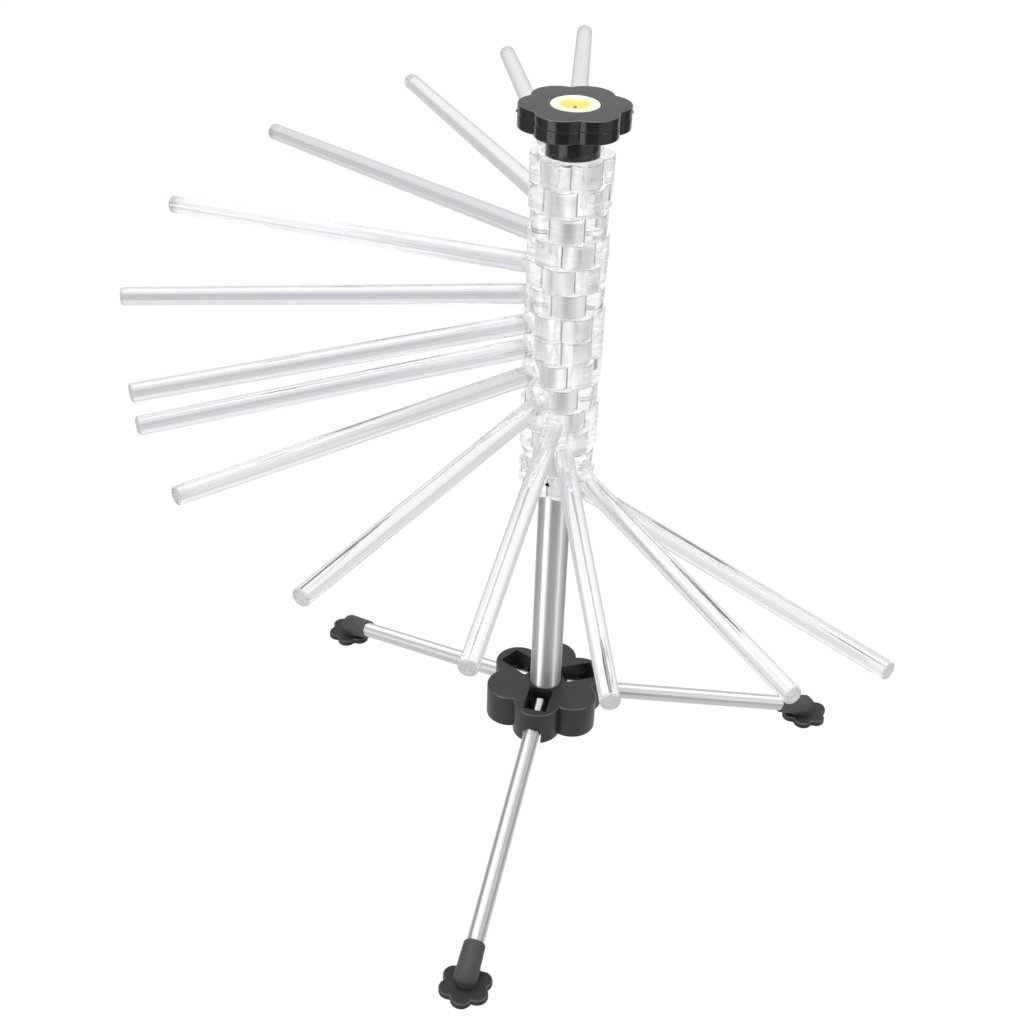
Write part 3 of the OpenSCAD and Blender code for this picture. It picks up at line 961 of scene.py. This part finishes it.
@dataclass
class Legs:
    """The three folding legs with their rubber feet.

    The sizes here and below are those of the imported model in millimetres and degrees, but for a leg's
    longer tail, a foot's flatter heel and tighter roundings, which come from the photograph.
    """

    pivot_at: float = 24.0
    pivot_z: float = 9.0
    heel_z: float = -40.8
    reach: float = 187.0
    floor_z: float = -49.0
    tube_r: float = 5.0
    wall: float = 0.8
    tail: float = 11.5
    sleeve_len: float = 22.0
    sleeve_past: float = 1.5
    sleeve_wall: float = 1.3
    sleeve_flare: float = 0.5
    sleeve_lip: float = 0.9
    heel_flat: float = 0.65
    sole: LobedOutline = LobedOutline(9.2, 6.1, soft=0.3)
    sole_t: float = 4.0
    sole_edge: float = 1.2
    sole_paint: float = 0.4
    sole_highlight_band: float = 1.4
    foot_web: float = 4.0
    play: float = 0.02
    voxel: float = 0.4

    @property
    def slope(self) -> float:
        """Angle in degrees by which a leg falls from its pivot to the centre of its heel."""
        return math.degrees(math.atan2(self.pivot_z - self.heel_z, self.reach - self.pivot_at))

    @property
    def run(self) -> float:
        """Length from the pivot to the foot's centre along the leg."""
        return math.hypot(self.reach - self.pivot_at, self.pivot_z - self.heel_z)

    def on_leg(self, azimuth: float) -> np.ndarray:
        """Return the frame of a leg: origin on its pivot, X out along it."""
        return turn(azimuth) @ shift(self.pivot_at, 0, self.pivot_z) @ turn(self.slope, "Y")

    def tube(self, azimuth: float) -> Shell:
        """Return a leg's tube in place."""
        tube = Tube(self.tube_r, self.wall, -self.tail, self.run - self.foot_web, columns=64)
        return tube.shell().placed(self.on_leg(azimuth))

    def sole_shell(self, azimuth: float) -> Shell:
        """Work out the flat lobed sole plate with its rounded upper edge.

        Args:
            azimuth: the leg's direction in degrees.

        Returns:
            The closed surface in place.
        """
        profile = [(0, 0.0, 0.0), (1, 0.0, 0.0)]
        profile += rim(self.sole_t - self.sole_edge, self.sole_edge, 0, 90)
        profile += [(0, 0.0, self.sole_t)]
        plate = self.sole.shell(profile, loop=False, columns=96)
        return plate.placed(turn(azimuth) @ shift(self.reach, 0, self.floor_z))

    def sleeve_shell(self, azimuth: float) -> Shell:
        """Work out the sleeve: a rounded mouth, a faint cone, and half a flattened ball as its heel.

        Args:
            azimuth: the leg's direction in degrees.

        Returns:
            The closed surface in place.
        """
        start = self.run + self.sleeve_past - self.sleeve_len
        slim = self.tube_r + self.sleeve_wall
        wide, lip = slim + self.sleeve_flare, self.sleeve_lip
        profile = (
            [(0.0, start)]
            + fillet(slim - lip, start + lip, lip, 270, 360, 5)
            + [(wide, self.run)]
            + [(r, self.run + self.heel_flat * x) for r, x in fillet(0.0, 0.0, wide, 0, 90, 14)[1:]]
        )
        return revolve(profile, columns=72).placed(self.on_leg(azimuth) @ turn(90, "Y"))

    def foot(self, name: str, azimuth: float) -> bpy.types.Object:
        """Make one foot: sole and sleeve melted into one soft form, then bored for the tube.

        Args:
            name: the piece's name.
            azimuth: the leg's direction in degrees.

        Returns:
            The piece.
        """
        piece = make_piece(name, self.sole_shell(azimuth))
        combine(piece, [self.sleeve_shell(azimuth)], Cut.ADD)
        melt = piece.modifiers.new("melt", "REMESH")
        melt.mode, melt.voxel_size, melt.use_smooth_shade = "VOXEL", self.voxel * MM, True
        ease = piece.modifiers.new("ease", "SMOOTH")
        ease.factor, ease.iterations = 0.5, 4
        apply_modifiers(piece)
        bore = cylinder(self.tube_r + self.play, 0, self.run - self.foot_web)
        combine(piece, [bore.placed(self.on_leg(azimuth) @ turn(90, "Y"))], Cut.REMOVE)
        return piece

    def build(self, finishes: Finishes) -> None:
        """Build and dress legs and feet.

        Args:
            finishes: the materials by name.
        """
        for name, azimuth in LEG_AZIMUTHS.items():
            tube = make_piece(f"{name}_leg_tube", self.tube(azimuth))
            dress(tube, finishes["steel"], f"{name}_leg", (f"leg_{name}",))
            foot = self.foot(f"{name}_rubber_foot", azimuth)
            foot.data.materials.append(finishes["rubber"])
            top = self.floor_z + self.sole_t
            paint(foot, finishes["sole"], (self.floor_z - 1, top + self.sole_paint), ALL_SLOPES)
            # Painted highlight: the sole's rounded upper edge lighter.
            paint(foot, finishes["sole_rim_highlight"], (top - self.sole_highlight_band, top), SOFT_SLOPES)
            dress(foot, finishes["rubber"], f"{name}_leg", (f"foot_{name}",))


@dataclass
class BaseHub:
    """The black hub at the pole's foot, with a slot, a window and an arch for each leg.

    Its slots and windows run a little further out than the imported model's, to clear the longer tails.
    """

    legs: Legs
    outline: LobedOutline = LobedOutline(22.7, 14.5, -90.0)
    height: float = 22.0
    edge: float = 0.8
    foot_edge: float = 0.3
    recess: float = 2.0
    wall: float = 2.2
    pole_seat_z: float = 5.0
    pole_hole_r: float = 9.52
    rebate: float = 1.2
    rebate_h: float = 1.6
    slot_w: float = 11.4
    slot_in: float = 11.2
    sweep_r: float = 12.8
    sweep: Span = (60.0, 200.0)
    window_w: float = 14.4
    window_z: float = 9.0
    window_in: float = 11.1
    window_out: float = 31.5
    window_foot: float = 28.6
    window_corner: float = 0.8
    channel_play: float = 0.2
    channel_len: float = 60.0
    over: float = 1.0

    def solid(self) -> Shell:
        """Work out the hub before its leg slots: rounded top edge, recess below and the pole's rebated hole.

        Returns:
            The closed surface.
        """
        profile = [(0, 0.0, self.recess), (1, self.wall, self.recess), (1, self.wall, 0.0)]
        profile += [(1, self.foot_edge, 0.0), (1, 0.0, self.foot_edge)]
        profile += rim(self.height - self.edge, self.edge, 0, 90, 8)
        hole, ledge = self.pole_hole_r, self.height - self.rebate_h
        profile += [(0, hole + self.rebate, self.height), (0, hole + self.rebate, ledge), (0, hole, ledge)]
        profile += [(0, hole, self.pole_seat_z), (0, 0.0, self.pole_seat_z)]
        return self.outline.shell(profile, loop=False, columns=288)

    def window(self, out: float) -> np.ndarray:
        """Work out the outline of a leg window: a rectangle with round corners.

        Args:
            out: distance from the pole's axis at which it ends.

        Returns:
            Points of the outline, one row each.
        """
        c, w = self.window_corner, self.window_w / 2
        middles = ((out - c, w - c, 0), (self.window_in + c, w - c, 90))
        middles += ((self.window_in + c, c - w, 180), (out - c, c - w, 270))
        return np.array([point for x, y, a in middles for point in fillet(x, y, c, a, a + 90, 5)])

    def leg_cuts(self, azimuth: float) -> list[Shell]:
        """Work out the room for one leg: slot, swing of its tail, channel, and a window that opens upward.

        Args:
            azimuth: the leg's direction in degrees.

        Returns:
            The solids to cut out.
        """
        legs = self.legs
        slope = math.tan(math.radians(legs.slope))
        under = legs.pivot_at + (legs.pivot_z + self.over) / slope
        side = np.array([[self.slot_in, -self.over], [under, -self.over], [legs.pivot_at, legs.pivot_z]])
        side = np.vstack([side, [self.slot_in, self.window_z + self.over / 2]])
        upright = turn(azimuth) @ turn(90, "X")
        slot = prism(side, -self.slot_w / 2, self.slot_w / 2).placed(upright)
        swept = np.radians(np.linspace(*self.sweep, 29))
        arc = self.sweep_r * np.column_stack([np.cos(swept), np.sin(swept)])
        swing = prism(np.vstack([[0, 0], arc]), -self.slot_w / 2, self.slot_w / 2)
        swing = swing.placed(upright @ shift(legs.pivot_at, legs.pivot_z, 0))
        channel = cylinder(self.slot_w / 2 + self.channel_play, 0, self.channel_len)
        channel = channel.placed(legs.on_leg(azimuth) @ turn(90, "Y"))
        top = self.height + 2 * self.over
        lean = (self.window_out - self.window_foot) / (self.height - self.window_z)
        rings = (self.window(self.window_foot), self.window(self.window_out + 2 * self.over * lean))
        window = prism(rings[0], self.window_z, top, rings[1]).placed(turn(azimuth))
        return [slot, swing, channel, window]

    def build(self, finishes: Finishes) -> None:
        """Build and dress the hub.

        Args:
            finishes: the materials by name.
        """
        hub = make_piece("hub_moulding", self.solid())
        for azimuth in LEG_AZIMUTHS.values():
            combine(hub, self.leg_cuts(azimuth), Cut.REMOVE)
        hub.data.materials.append(finishes["hub"])
        # Painted highlight: the hub's rounded top edge lighter.
        paint(hub, finishes["hub_edge"], (self.height - self.edge, self.height), EDGE_SLOPES)
        dress(hub, finishes["hub"], "stand", ("base_hub",))


@dataclass
class ArmStack:
    """The fourteen clear arms, all from one mould, each turned and lifted to its place."""

    base_z: float = 168.0
    pitch: float = 14.0
    outline: LobedOutline = LobedOutline(12.5, 9.2, 30.0, 0.2)
    bore_r: float = 9.58
    spigot_r: float = 14.0
    spigot_h: float = 1.2
    spigot_lead: float = 0.2
    socket_r: float = 14.6
    socket_h: float = 1.4
    socket_lead: float = 0.15
    slot_in: float = 11.2
    slot_h: float = 2.0
    slot: Span = (145.3, 189.0)
    dog_in: float = 11.4
    dog_w: float = 16.0
    dog_h: float = 1.6
    dog_tuck: float = 0.02
    edge: float = 0.5
    reach: float = 231.5
    root_r: float = 5.5
    tip_r: float = 4.7
    tip_edge: float = 1.2
    drop: float = 0.8
    rod_from: float = 12.0
    screw_r: float = 1.52
    screw_up: float = 1.0
    screw_run: Span = (8.0, 40.0)
    overlap: float = 0.5
    cone: float = 0.6
    blend: float = 0.66
    taper_at: Span = (50.0, 210.0)
    taper_r: Span = (5.38, 4.78)
    gate_r: float = 1.5
    gate_depth: float = 0.3
    valley_line: Span = (0.5, 0.22)

    def direction(self, number: int) -> float:
        """Return an arm's direction in degrees, counted from 1 at the top."""
        return LOWEST_ARM - sum(FAN[: ARM_COUNT - number])

    def height(self, number: int) -> float:
        """Return the height of the middle of an arm's hub."""
        return self.base_z + (ARM_COUNT - number + 0.5) * self.pitch

    def ring(self) -> Shell:
        """Work out the lobed hub: spigot below, stepped socket above, and the bore between them.

        Returns:
            The closed surface.
        """
        half, e = self.pitch / 2, self.edge
        low, floor = -half - self.spigot_h, half - self.socket_h
        spigot, socket, lead, mouth = self.spigot_r, self.socket_r, self.spigot_lead, self.socket_lead
        profile = [(0, self.bore_r, low), (0, spigot - lead, low), (0, spigot, low + lead)]
        profile += [(0, spigot, -half)] + rim(-half + e, e, -90, 0, 4) + rim(half - e, e, 0, 90, 4)
        profile += [(0, socket + mouth, half), (0, socket, half - mouth)]
        profile += [(0, socket, floor), (0, self.bore_r, floor)]
        return self.outline.shell(profile, loop=True, columns=288)

    def rod(self) -> Shell:
        """Work out the tapered rod with a faint cone at its root, a rounded tip and the gate's mark.

        Returns:
            The closed surface, along +X.
        """
        blend = self.outline.at + self.blend * self.outline.radius
        wide, gate = self.root_r + self.cone, self.reach - self.gate_depth
        profile = (
            [(0, self.rod_from), (wide, self.rod_from), (wide, blend)]
            + [(self.root_r + 0.3 * self.cone, blend + 2 * self.cone), (self.root_r, blend + 5 * self.cone)]
            + list(zip(np.linspace(*self.taper_r, 5), np.linspace(*self.taper_at, 5)))
            + fillet(self.tip_r - self.tip_edge, self.reach - self.tip_edge, self.tip_edge, 0, 90, 8)
            + [(self.gate_r, self.reach), (0.9 * self.gate_r, gate), (0, gate)]
        )
        return revolve(profile, columns=64).placed(shift(z=-self.drop) @ turn(90, "Y"))

    def arc(self, inner: float, outer: float, start: float, end: float, low: float, high: float) -> Shell:
        """Work out a block that follows an arc about the pole: (r cos t, r sin t, z) along its four edges.

        Args:
            inner: its inner radius.
            outer: its outer radius.
            start: direction in which it begins.
            end: direction in which it ends.
            low: height of its underside.
            high: height of its top.

        Returns:
            The closed surface.
        """
        t = np.radians(np.linspace(start, end, 12))
        rows = [
            np.stack([r * np.cos(t), r * np.sin(t), np.full(len(t), z)], -1)
            for r, z in ((inner, low), (outer, low), (outer, high), (inner, high))
        ]
        strip = np.stack(rows, 1)
        ends = np.broadcast_to(strip[[0, -1]].mean(1, keepdims=True), (2, 4, 3))
        return Shell.grid(np.concatenate([ends[:1], strip, ends[1:]]))

    def dog(self, outer: float, direction: float, low: float, into: float) -> Shell:
        """Return a drive tab in a direction, hung under a height and let into the piece above it."""
        half = self.dog_w / 2
        return self.arc(self.dog_in, outer, direction - half, direction + half, low - self.dog_h, low + into)

    def mould(self, finishes: Finishes) -> bpy.types.Object:
        """Make one arm at the origin, its rod along +X, with fine dark lines of painted shade on its edges
        and valleys.

        Args:
            finishes: the materials by name.

        Returns:
            The arm, from which the others are copied.
        """
        half = self.pitch / 2
        arm = make_piece("arm_mould", self.ring())
        floor = half - self.socket_h
        over = self.overlap
        slot = self.arc(self.slot_in, self.socket_r, *self.slot, floor - self.slot_h, floor + over)
        combine(arm, [slot], Cut.REMOVE)
        dog = self.dog(self.spigot_r - self.dog_tuck, 180, -half - self.spigot_h, over)
        combine(arm, [dog, self.rod()], Cut.ADD)
        arm.data.materials.append(finishes["clear"])
        valley = self.outline.reach(np.zeros(1))[0]
        line = (valley - self.valley_line[0], valley + self.valley_line[1])
        # Painted shade: thin dark lines on the hub's top edge and in the valleys between its lobes.
        paint(arm, finishes["clear_edge_shade"], (half - self.edge, half), EDGE_SLOPES)
        paint(arm, finishes["clear_edge_shade"], (self.edge - half, half), UPRIGHT_SLOPES, line)
        return arm

    def build(self, finishes: Finishes) -> None:
        """Build and dress the fourteen arms.

        Args:
            finishes: the materials by name.
        """
        mould = self.mould(finishes)
        for number in range(1, ARM_COUNT + 1):
            arm = add_object(f"clear_arm_{number:02d}", mould.data.copy())
            place = shift(z=self.height(number) * MM) @ turn(self.direction(number))
            arm.data.transform(Matrix(place.tolist()))
            if number == ARM_COUNT:
                lift = shift(z=self.height(number) + self.screw_up)
                side = turn(self.direction(number) - 360 / LOBES) @ turn(90, "Y")
                hole = cylinder(self.screw_r, *self.screw_run, columns=32).placed(lift @ side)
                combine(arm, [hole], Cut.REMOVE)
            body = "stand" if number == ARM_COUNT else f"arm_{number:02d}"
            dress(arm, finishes["clear"], body, (f"arm_{number:02d}",))
        bpy.data.objects.remove(mould)


@dataclass
class Knob:
    """The lobed hand knob: a lower shell with the collar, and an upper shell round the cap."""

    outline: LobedOutline = LobedOutline(14.6, 14.0, 316.5, 0.3)
    low_z: float = 377.0
    part_z: float = 383.3
    top_z: float = 389.0
    edge: float = 0.6
    part_edge: float = 0.45
    well_r: float = 13.0
    well_lead: float = 0.35
    floor_z: float = 380.0
    collar_r: float = 14.0
    collar_z: float = 362.8
    collar_lead: float = 0.2
    collar_root: float = 0.4
    bore_r: float = 9.58
    direction: float = 266.0
    gate_lobes: tuple[int, ...] = (1, 4)
    gate_r: float = 0.8
    gate_up: float = 1.6
    gate_proud: float = 0.5
    gate_edge: float = 0.2

    def lower(self) -> Shell:
        """Work out the lower shell: collar, underside, rounded side, parting face and floor.

        Returns:
            The closed surface.
        """
        collar, foot, lead, root = self.collar_r, self.collar_z, self.collar_lead, self.collar_root
        profile = [(0, self.bore_r, foot), (0, collar - lead, foot), (0, collar, foot + lead)]
        profile += [(0, collar, self.low_z - root), (0, collar + root, self.low_z)]
        profile += rim(self.low_z + self.edge, self.edge, -90, 0, 6)
        profile += rim(self.part_z - self.part_edge, self.part_edge, 0, 90, 4)
        well = ((self.well_r, self.part_z), (self.well_r, self.floor_z), (self.bore_r, self.floor_z))
        profile += [(0, *corner) for corner in well]
        return self.outline.shell(profile, loop=True, columns=240)

    def upper(self) -> Shell:
        """Work out the upper shell: parting face, rounded side, top face and the cap's well.

        Returns:
            The closed surface.
        """
        profile = rim(self.part_z + self.part_edge, self.part_edge, -90, 0, 4)
        profile += rim(self.top_z - self.edge, self.edge, 0, 90, 8)
        well, lead = self.well_r, self.well_lead
        profile += [(0, well + lead, self.top_z), (0, well, self.top_z - lead), (0, well, self.part_z)]
        return self.outline.shell(profile, loop=True, columns=240)

    def gates(self) -> list[Shell]:
        """Work out the marks that the mould's gates leave on two lobes of the upper shell.

        Returns:
            One small closed surface for each mark.
        """
        side = self.outline.at + self.outline.radius
        face, e = side + self.gate_proud, self.gate_edge
        rounding = fillet(self.gate_r - e, face - e, e, 0, 90, 3)
        mark = revolve([(0, side - 1), (self.gate_r, side - 1), *rounding, (0, face)], columns=24)
        mark = mark.placed(shift(z=self.part_z + self.gate_up) @ turn(90, "Y"))
        return [mark.placed(turn(self.outline.first + 360 / LOBES * lobe)) for lobe in self.gate_lobes]

    def build(self, stack: ArmStack, finishes: Finishes) -> None:
        """Build and dress both shells; flat upper faces get the satin finish.

        Args:
            stack: the arms, whose drive tab hangs under the collar too.
            finishes: the materials by name.
        """
        dog = stack.dog(self.collar_r, self.direction, self.collar_z, 2 * stack.overlap)
        lower = make_piece("knob_lower_shell", self.lower().joined(dog))
        dress(lower, finishes["knob_side"], "knob", ("knob_lower",))
        upper = make_piece("knob_upper_shell", self.upper().joined(*self.gates()))
        upper.data.materials.append(finishes["knob_side"])
        # Painted sheen: the satin top's colour lighter than the sides'.
        paint(upper, finishes["knob_top"], (self.top_z - LEVEL_PLAY, self.top_z + LEVEL_PLAY), FLAT_SLOPES)
        # Painted highlight: the knob's rounded top edge lighter.
        paint(upper, finishes["knob_edge"], (self.top_z - self.edge, self.top_z), EDGE_SLOPES)
        dress(upper, finishes["knob_top"], "knob", ("knob_upper",))


@dataclass
class PoleAndWand:
    """The steel pole, and the ivory wand kept in it with its dished cap."""

    pole_r: float = 9.5
    wall: float = 1.0
    low_z: float = 5.0
    top_z: float = 380.2
    cap_r: float = 12.6
    cap_z: float = 382.0
    cap_top: float = 389.0
    cap_foot: float = 0.3
    cap_edge: float = 0.7
    dish_r: float = 8.6
    dish_depth: float = 2.0
    dish_lip: tuple[Span, Span] = ((0.5, 0.0), (0.2, 0.03))
    hole_r: float = 0.9
    hole_depth: float = 0.8

    def cap(self) -> Shell:
        """Work out the cap: rounded rim, and a dish whose depth is depth (1 - (r / dish)^2).

        Returns:
            The closed surface.
        """
        r = np.linspace(self.dish_r, self.hole_r, 14)
        dish = self.cap_top - self.dish_depth * (1 - (r / self.dish_r) ** 2)
        floor = self.cap_top - self.dish_depth - self.hole_depth
        foot, edge = self.cap_foot, self.cap_edge
        profile = (
            [(0.0, self.cap_z)]
            + fillet(self.cap_r - foot, self.cap_z + foot, foot, 270, 360, 3)
            + fillet(self.cap_r - edge, self.cap_top - edge, edge, 0, 90, 6)
            + [(self.dish_r + out, self.cap_top - down) for out, down in self.dish_lip]
            + list(zip(r, dish))
            + [(self.hole_r, floor), (0.0, floor)]
        )
        return revolve(profile)

    def build(self, finishes: Finishes) -> None:
        """Build and dress the pole and the cap.

        Args:
            finishes: the materials by name.
        """
        tube = Tube(self.pole_r, self.wall, self.low_z, self.top_z, columns=128)
        pole = make_piece("pole_tube", tube.shell().placed(turn(-90, "Y")))
        dress(pole, finishes["steel"], "stand", ("pole",))
        cap = make_piece("wand_cap_moulding", self.cap())
        dress(cap, finishes["cap"], "wand", ("wand_cap",))


def finish_fittings(finishes: Finishes) -> None:
    """Give the small CAD pieces that keep their own shape their materials.

    Args:
        finishes: the materials by name.
    """
    for finish, names in FITTINGS.items():
        for name in names:
            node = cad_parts[name]
            node.data.materials.clear()
            node.data.materials.append(finishes[finish])
            log.info("%s keeps its shape, finish %s", name, finish)


@dataclass(frozen=True)
class Lamp:
    """A soft box that faces the middle of the rack.

    Attributes:
        name: the lamp's name.
        azimuth: its direction from the rack, in degrees from the way the camera looks.
        elevation: its height above the horizon, in degrees.
        distance: its distance in metres.
        width: its width in metres.
        height: its height in metres.
        watts: its power.
    """

    name: str
    azimuth: float
    elevation: float
    distance: float
    width: float
    height: float
    watts: float

    def build(self) -> None:
        """Make the lamp, unseen by the camera."""
        data = bpy.data.lights.new(self.name, "AREA")
        data.shape, data.size, data.size_y, data.energy = "RECTANGLE", self.width, self.height, self.watts
        lamp = add_object(self.name, data)
        out = direction(VIEW_HEADING + self.azimuth, self.elevation)
        lamp.location = out * self.distance + Vector((0, 0, RACK_MIDDLE * MM))
        lamp.rotation_mode = "QUATERNION"
        lamp.rotation_quaternion = out.to_track_quat("Z", "Y")
        lamp.visible_camera = False


@dataclass
class Studio:
    """A white floor and backdrop, soft boxes, and the camera of the photograph.

    Walls are pairs of an angle round the rack and a level. The angle is 0 towards the camera and
    grows to the picture's right, and the white backdrop stands behind the rack, at 180.
    The floor lies low enough for the folded legs to hang clear of it.
    """

    floor_z: float = -185.05
    floor_t: float = 9.95
    half_width: float = 6.0
    plain_level: float = 0.6
    walls: tuple[Span, ...] = (
        ((-180, 1.0), (-135, 1.0), (-120, 0.2), (-100, 0.2), (-85, 0.45), (-62, 0.45), (-58, 2.6), (-30, 2.6))
        + ((-22, 0.15), (24, 0.15), (34, 0.75), (84, 0.75), (96, 0.1), (125, 0.1), (138, 1.0), (180, 1.0))
    )
    ceiling: tuple[Span, ...] = ((0.0, 0.0), (0.3, 0.1), (0.55, 0.7), (0.62, 1.0), (1.0, 1.0))
    lid: tuple[Span, ...] = ((0.0, 1.0), (0.8, 1.0), (0.9, 2.4), (1.0, 2.4))
    far_floor: Span = (0.55, 0.8)
    floor_glow: Span = (1.05, 1.12)
    floor_white: float = 0.8
    camera_at: tuple[float, float, float] = (138.9, -724.4, 640.0)
    tilt: float = 33.84
    roll: float = -1.93
    focal_px: float = 1529.0
    sensor: float = 36.0
    lamps: tuple[Lamp, ...] = (
        Lamp("left_box", 128.0, 22.0, 1.7, 0.5, 1.4, 9.0),
        Lamp("right_box", 235.0, 18.0, 1.9, 0.5, 1.4, 6.0),
        Lamp("top_box", 20.0, 78.0, 1.6, 1.2, 1.2, 11.5),
    )

    def camera(self) -> None:
        """Make the camera: it looks along the heading, tilted down and rolled as in the photograph."""
        data = bpy.data.cameras.new("camera")
        data.sensor_width = self.sensor
        data.lens = self.focal_px / IMAGE_SIZE * self.sensor
        data.clip_start, data.clip_end = 0.01, 100.0
        camera = add_object("camera", data)
        roll = math.radians(self.roll)
        ahead = direction(VIEW_HEADING, -self.tilt)
        right = ahead.cross(Vector((0, 0, 1))).normalized()
        down = ahead.cross(right)
        turned_right = math.cos(roll) * right + math.sin(roll) * down
        turned_up = math.sin(roll) * right - math.cos(roll) * down
        pose = Matrix((turned_right, turned_up, -ahead)).transposed().to_4x4()
        pose.translation = Vector(self.camera_at) * MM
        camera.matrix_world = pose
        bpy.context.scene.camera = camera

    def ramp(self, add: Add, value: Socket, stops: tuple[Span, ...]) -> Socket:
        """Add a ramp of grey levels, which may be over 1.

        Args:
            add: adds a node.
            value: the socket that drives it, from 0 to 1.
            stops: pairs of place and level.

        Returns:
            The level.
        """
        top = max(level for _, level in stops)
        shares = add("ValToRGB", (value,))
        elements = shares.node.color_ramp.elements
        elements.remove(elements[0])
        for number, (place, level) in enumerate(stops):
            element = elements.new(place) if number else elements[0]
            element.position = place
            element.color = (level / top, level / top, level / top, 1.0)
        return add("Math", (shares, top), operation="MULTIPLY")

    def round_walls(self, add: Add, place: Socket) -> Socket:
        """Add the walls, whose level goes by the angle round the rack: arctan(to the right / to the front).

        Args:
            add: adds a node to the tree.
            place: a point or the direction of a ray.

        Returns:
            The walls' level.
        """
        heading = math.radians(VIEW_HEADING)
        nearer, right = (
            add("VectorMath", (place, (math.cos(a), math.sin(a), 0)), "Value", operation="DOT_PRODUCT")
            for a in (heading + math.pi, heading - math.pi / 2)
        )
        angle = add("Math", (right, nearer), operation="ARCTAN2")
        share = add("MapRange", (angle, -math.pi, math.pi))
        return self.ramp(add, share, tuple(((degrees + 180) / 360, level) for degrees, level in self.walls))

    def floor_shader(self, add: Add) -> Socket:
        """Make a white that keeps a faint shadow.

        Polished parts mirror it near the rack, and the walls' tones further out, as on a small table.

        Args:
            add: adds a node to the tree.

        Returns:
            The shader.
        """
        path = add("LightPath").node.outputs
        sight = add("Math", (path["Is Camera Ray"], path["Is Glossy Ray"]), operation="MAXIMUM")
        sight = add("Math", (sight, path["Is Transmission Ray"]), operation="MAXIMUM")
        share = add("Math", (sight, self.floor_white), operation="MULTIPLY")
        place = add("TexCoord", out="Object")
        away = add("VectorMath", (place,), "Value", operation="LENGTH")
        near, far = self.far_floor
        through = add("Math", (1.0, path["Is Transmission Ray"]), operation="SUBTRACT")
        dim = add("Math", (path["Is Glossy Ray"], through), operation="MULTIPLY")
        dim = add("Math", (dim, add("MapRange", (away, near, far))), operation="MULTIPLY")
        own = add("MapRange", (away, near, 2 * far, *self.floor_glow))
        level = add("Mix", {0: dim, 2: own, 3: self.round_walls(add, place)})
        matt = add("BsdfDiffuse", {"Color": (0.92, 0.92, 0.92, 1)})
        return add("MixShader", (share, matt, add("Emission", {"Color": WHITE, "Strength": level})))

    def world_shader(self, add: Add) -> Socket:
        """Make a plain level for matt surfaces, a room for metal and glass, and white behind.

        Args:
            add: adds a node to the tree.

        Returns:
            The shader.
        """
        path = add("LightPath").node.outputs
        place = add("TexCoord", out="Generated")
        height = add("SeparateXYZ", (place,), "Z")
        above = self.ramp(add, height, self.ceiling)
        lid = self.ramp(add, height, self.lid)
        room = add("Mix", {0: above, 2: self.round_walls(add, place), 3: lid})
        clear = add("Math", (path["Is Glossy Ray"], path["Is Transmission Ray"]), operation="MAXIMUM")
        level = add("Mix", {0: clear, 2: self.plain_level, 3: room})
        seen = add("Mix", {0: path["Is Camera Ray"], 2: level, 3: 1.0})
        return add("Background", {"Color": WHITE, "Strength": seen})

    def build(self) -> None:
        """Make camera, floor, world and lamps."""
        self.camera()
        ring = self.half_width / MM * np.array([[-1, -1], [1, -1], [1, 1], [-1, 1]])
        floor = make_piece("floor", prism(ring, self.floor_z - self.floor_t, self.floor_z))
        floor.data.materials.append(new_material("table_white", self.floor_shader))
        world = bpy.data.worlds.new("studio")
        world.use_nodes = True
        fill_tree(world.node_tree, "OutputWorld", self.world_shader)
        bpy.context.scene.world = world
        for lamp in self.lamps:
            lamp.build()
        bpy.context.scene.view_settings.view_transform = "Standard"
        log.info("studio ready")


def main() -> None:
    """Build every piece of the rack and its studio."""
    logging.basicConfig(level=logging.INFO, format="%(name)s: %(message)s")
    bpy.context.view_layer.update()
    finishes = {name: finish.material() for name, finish in FINISHES.items()}
    legs = Legs()
    legs.build(finishes)
    BaseHub(legs).build(finishes)
    stack = ArmStack()
    stack.build(finishes)
    Knob().build(stack, finishes)
    PoleAndWand().build(finishes)
    finish_fittings(finishes)
    Studio().build()


if __name__ == "__main__":
    main()
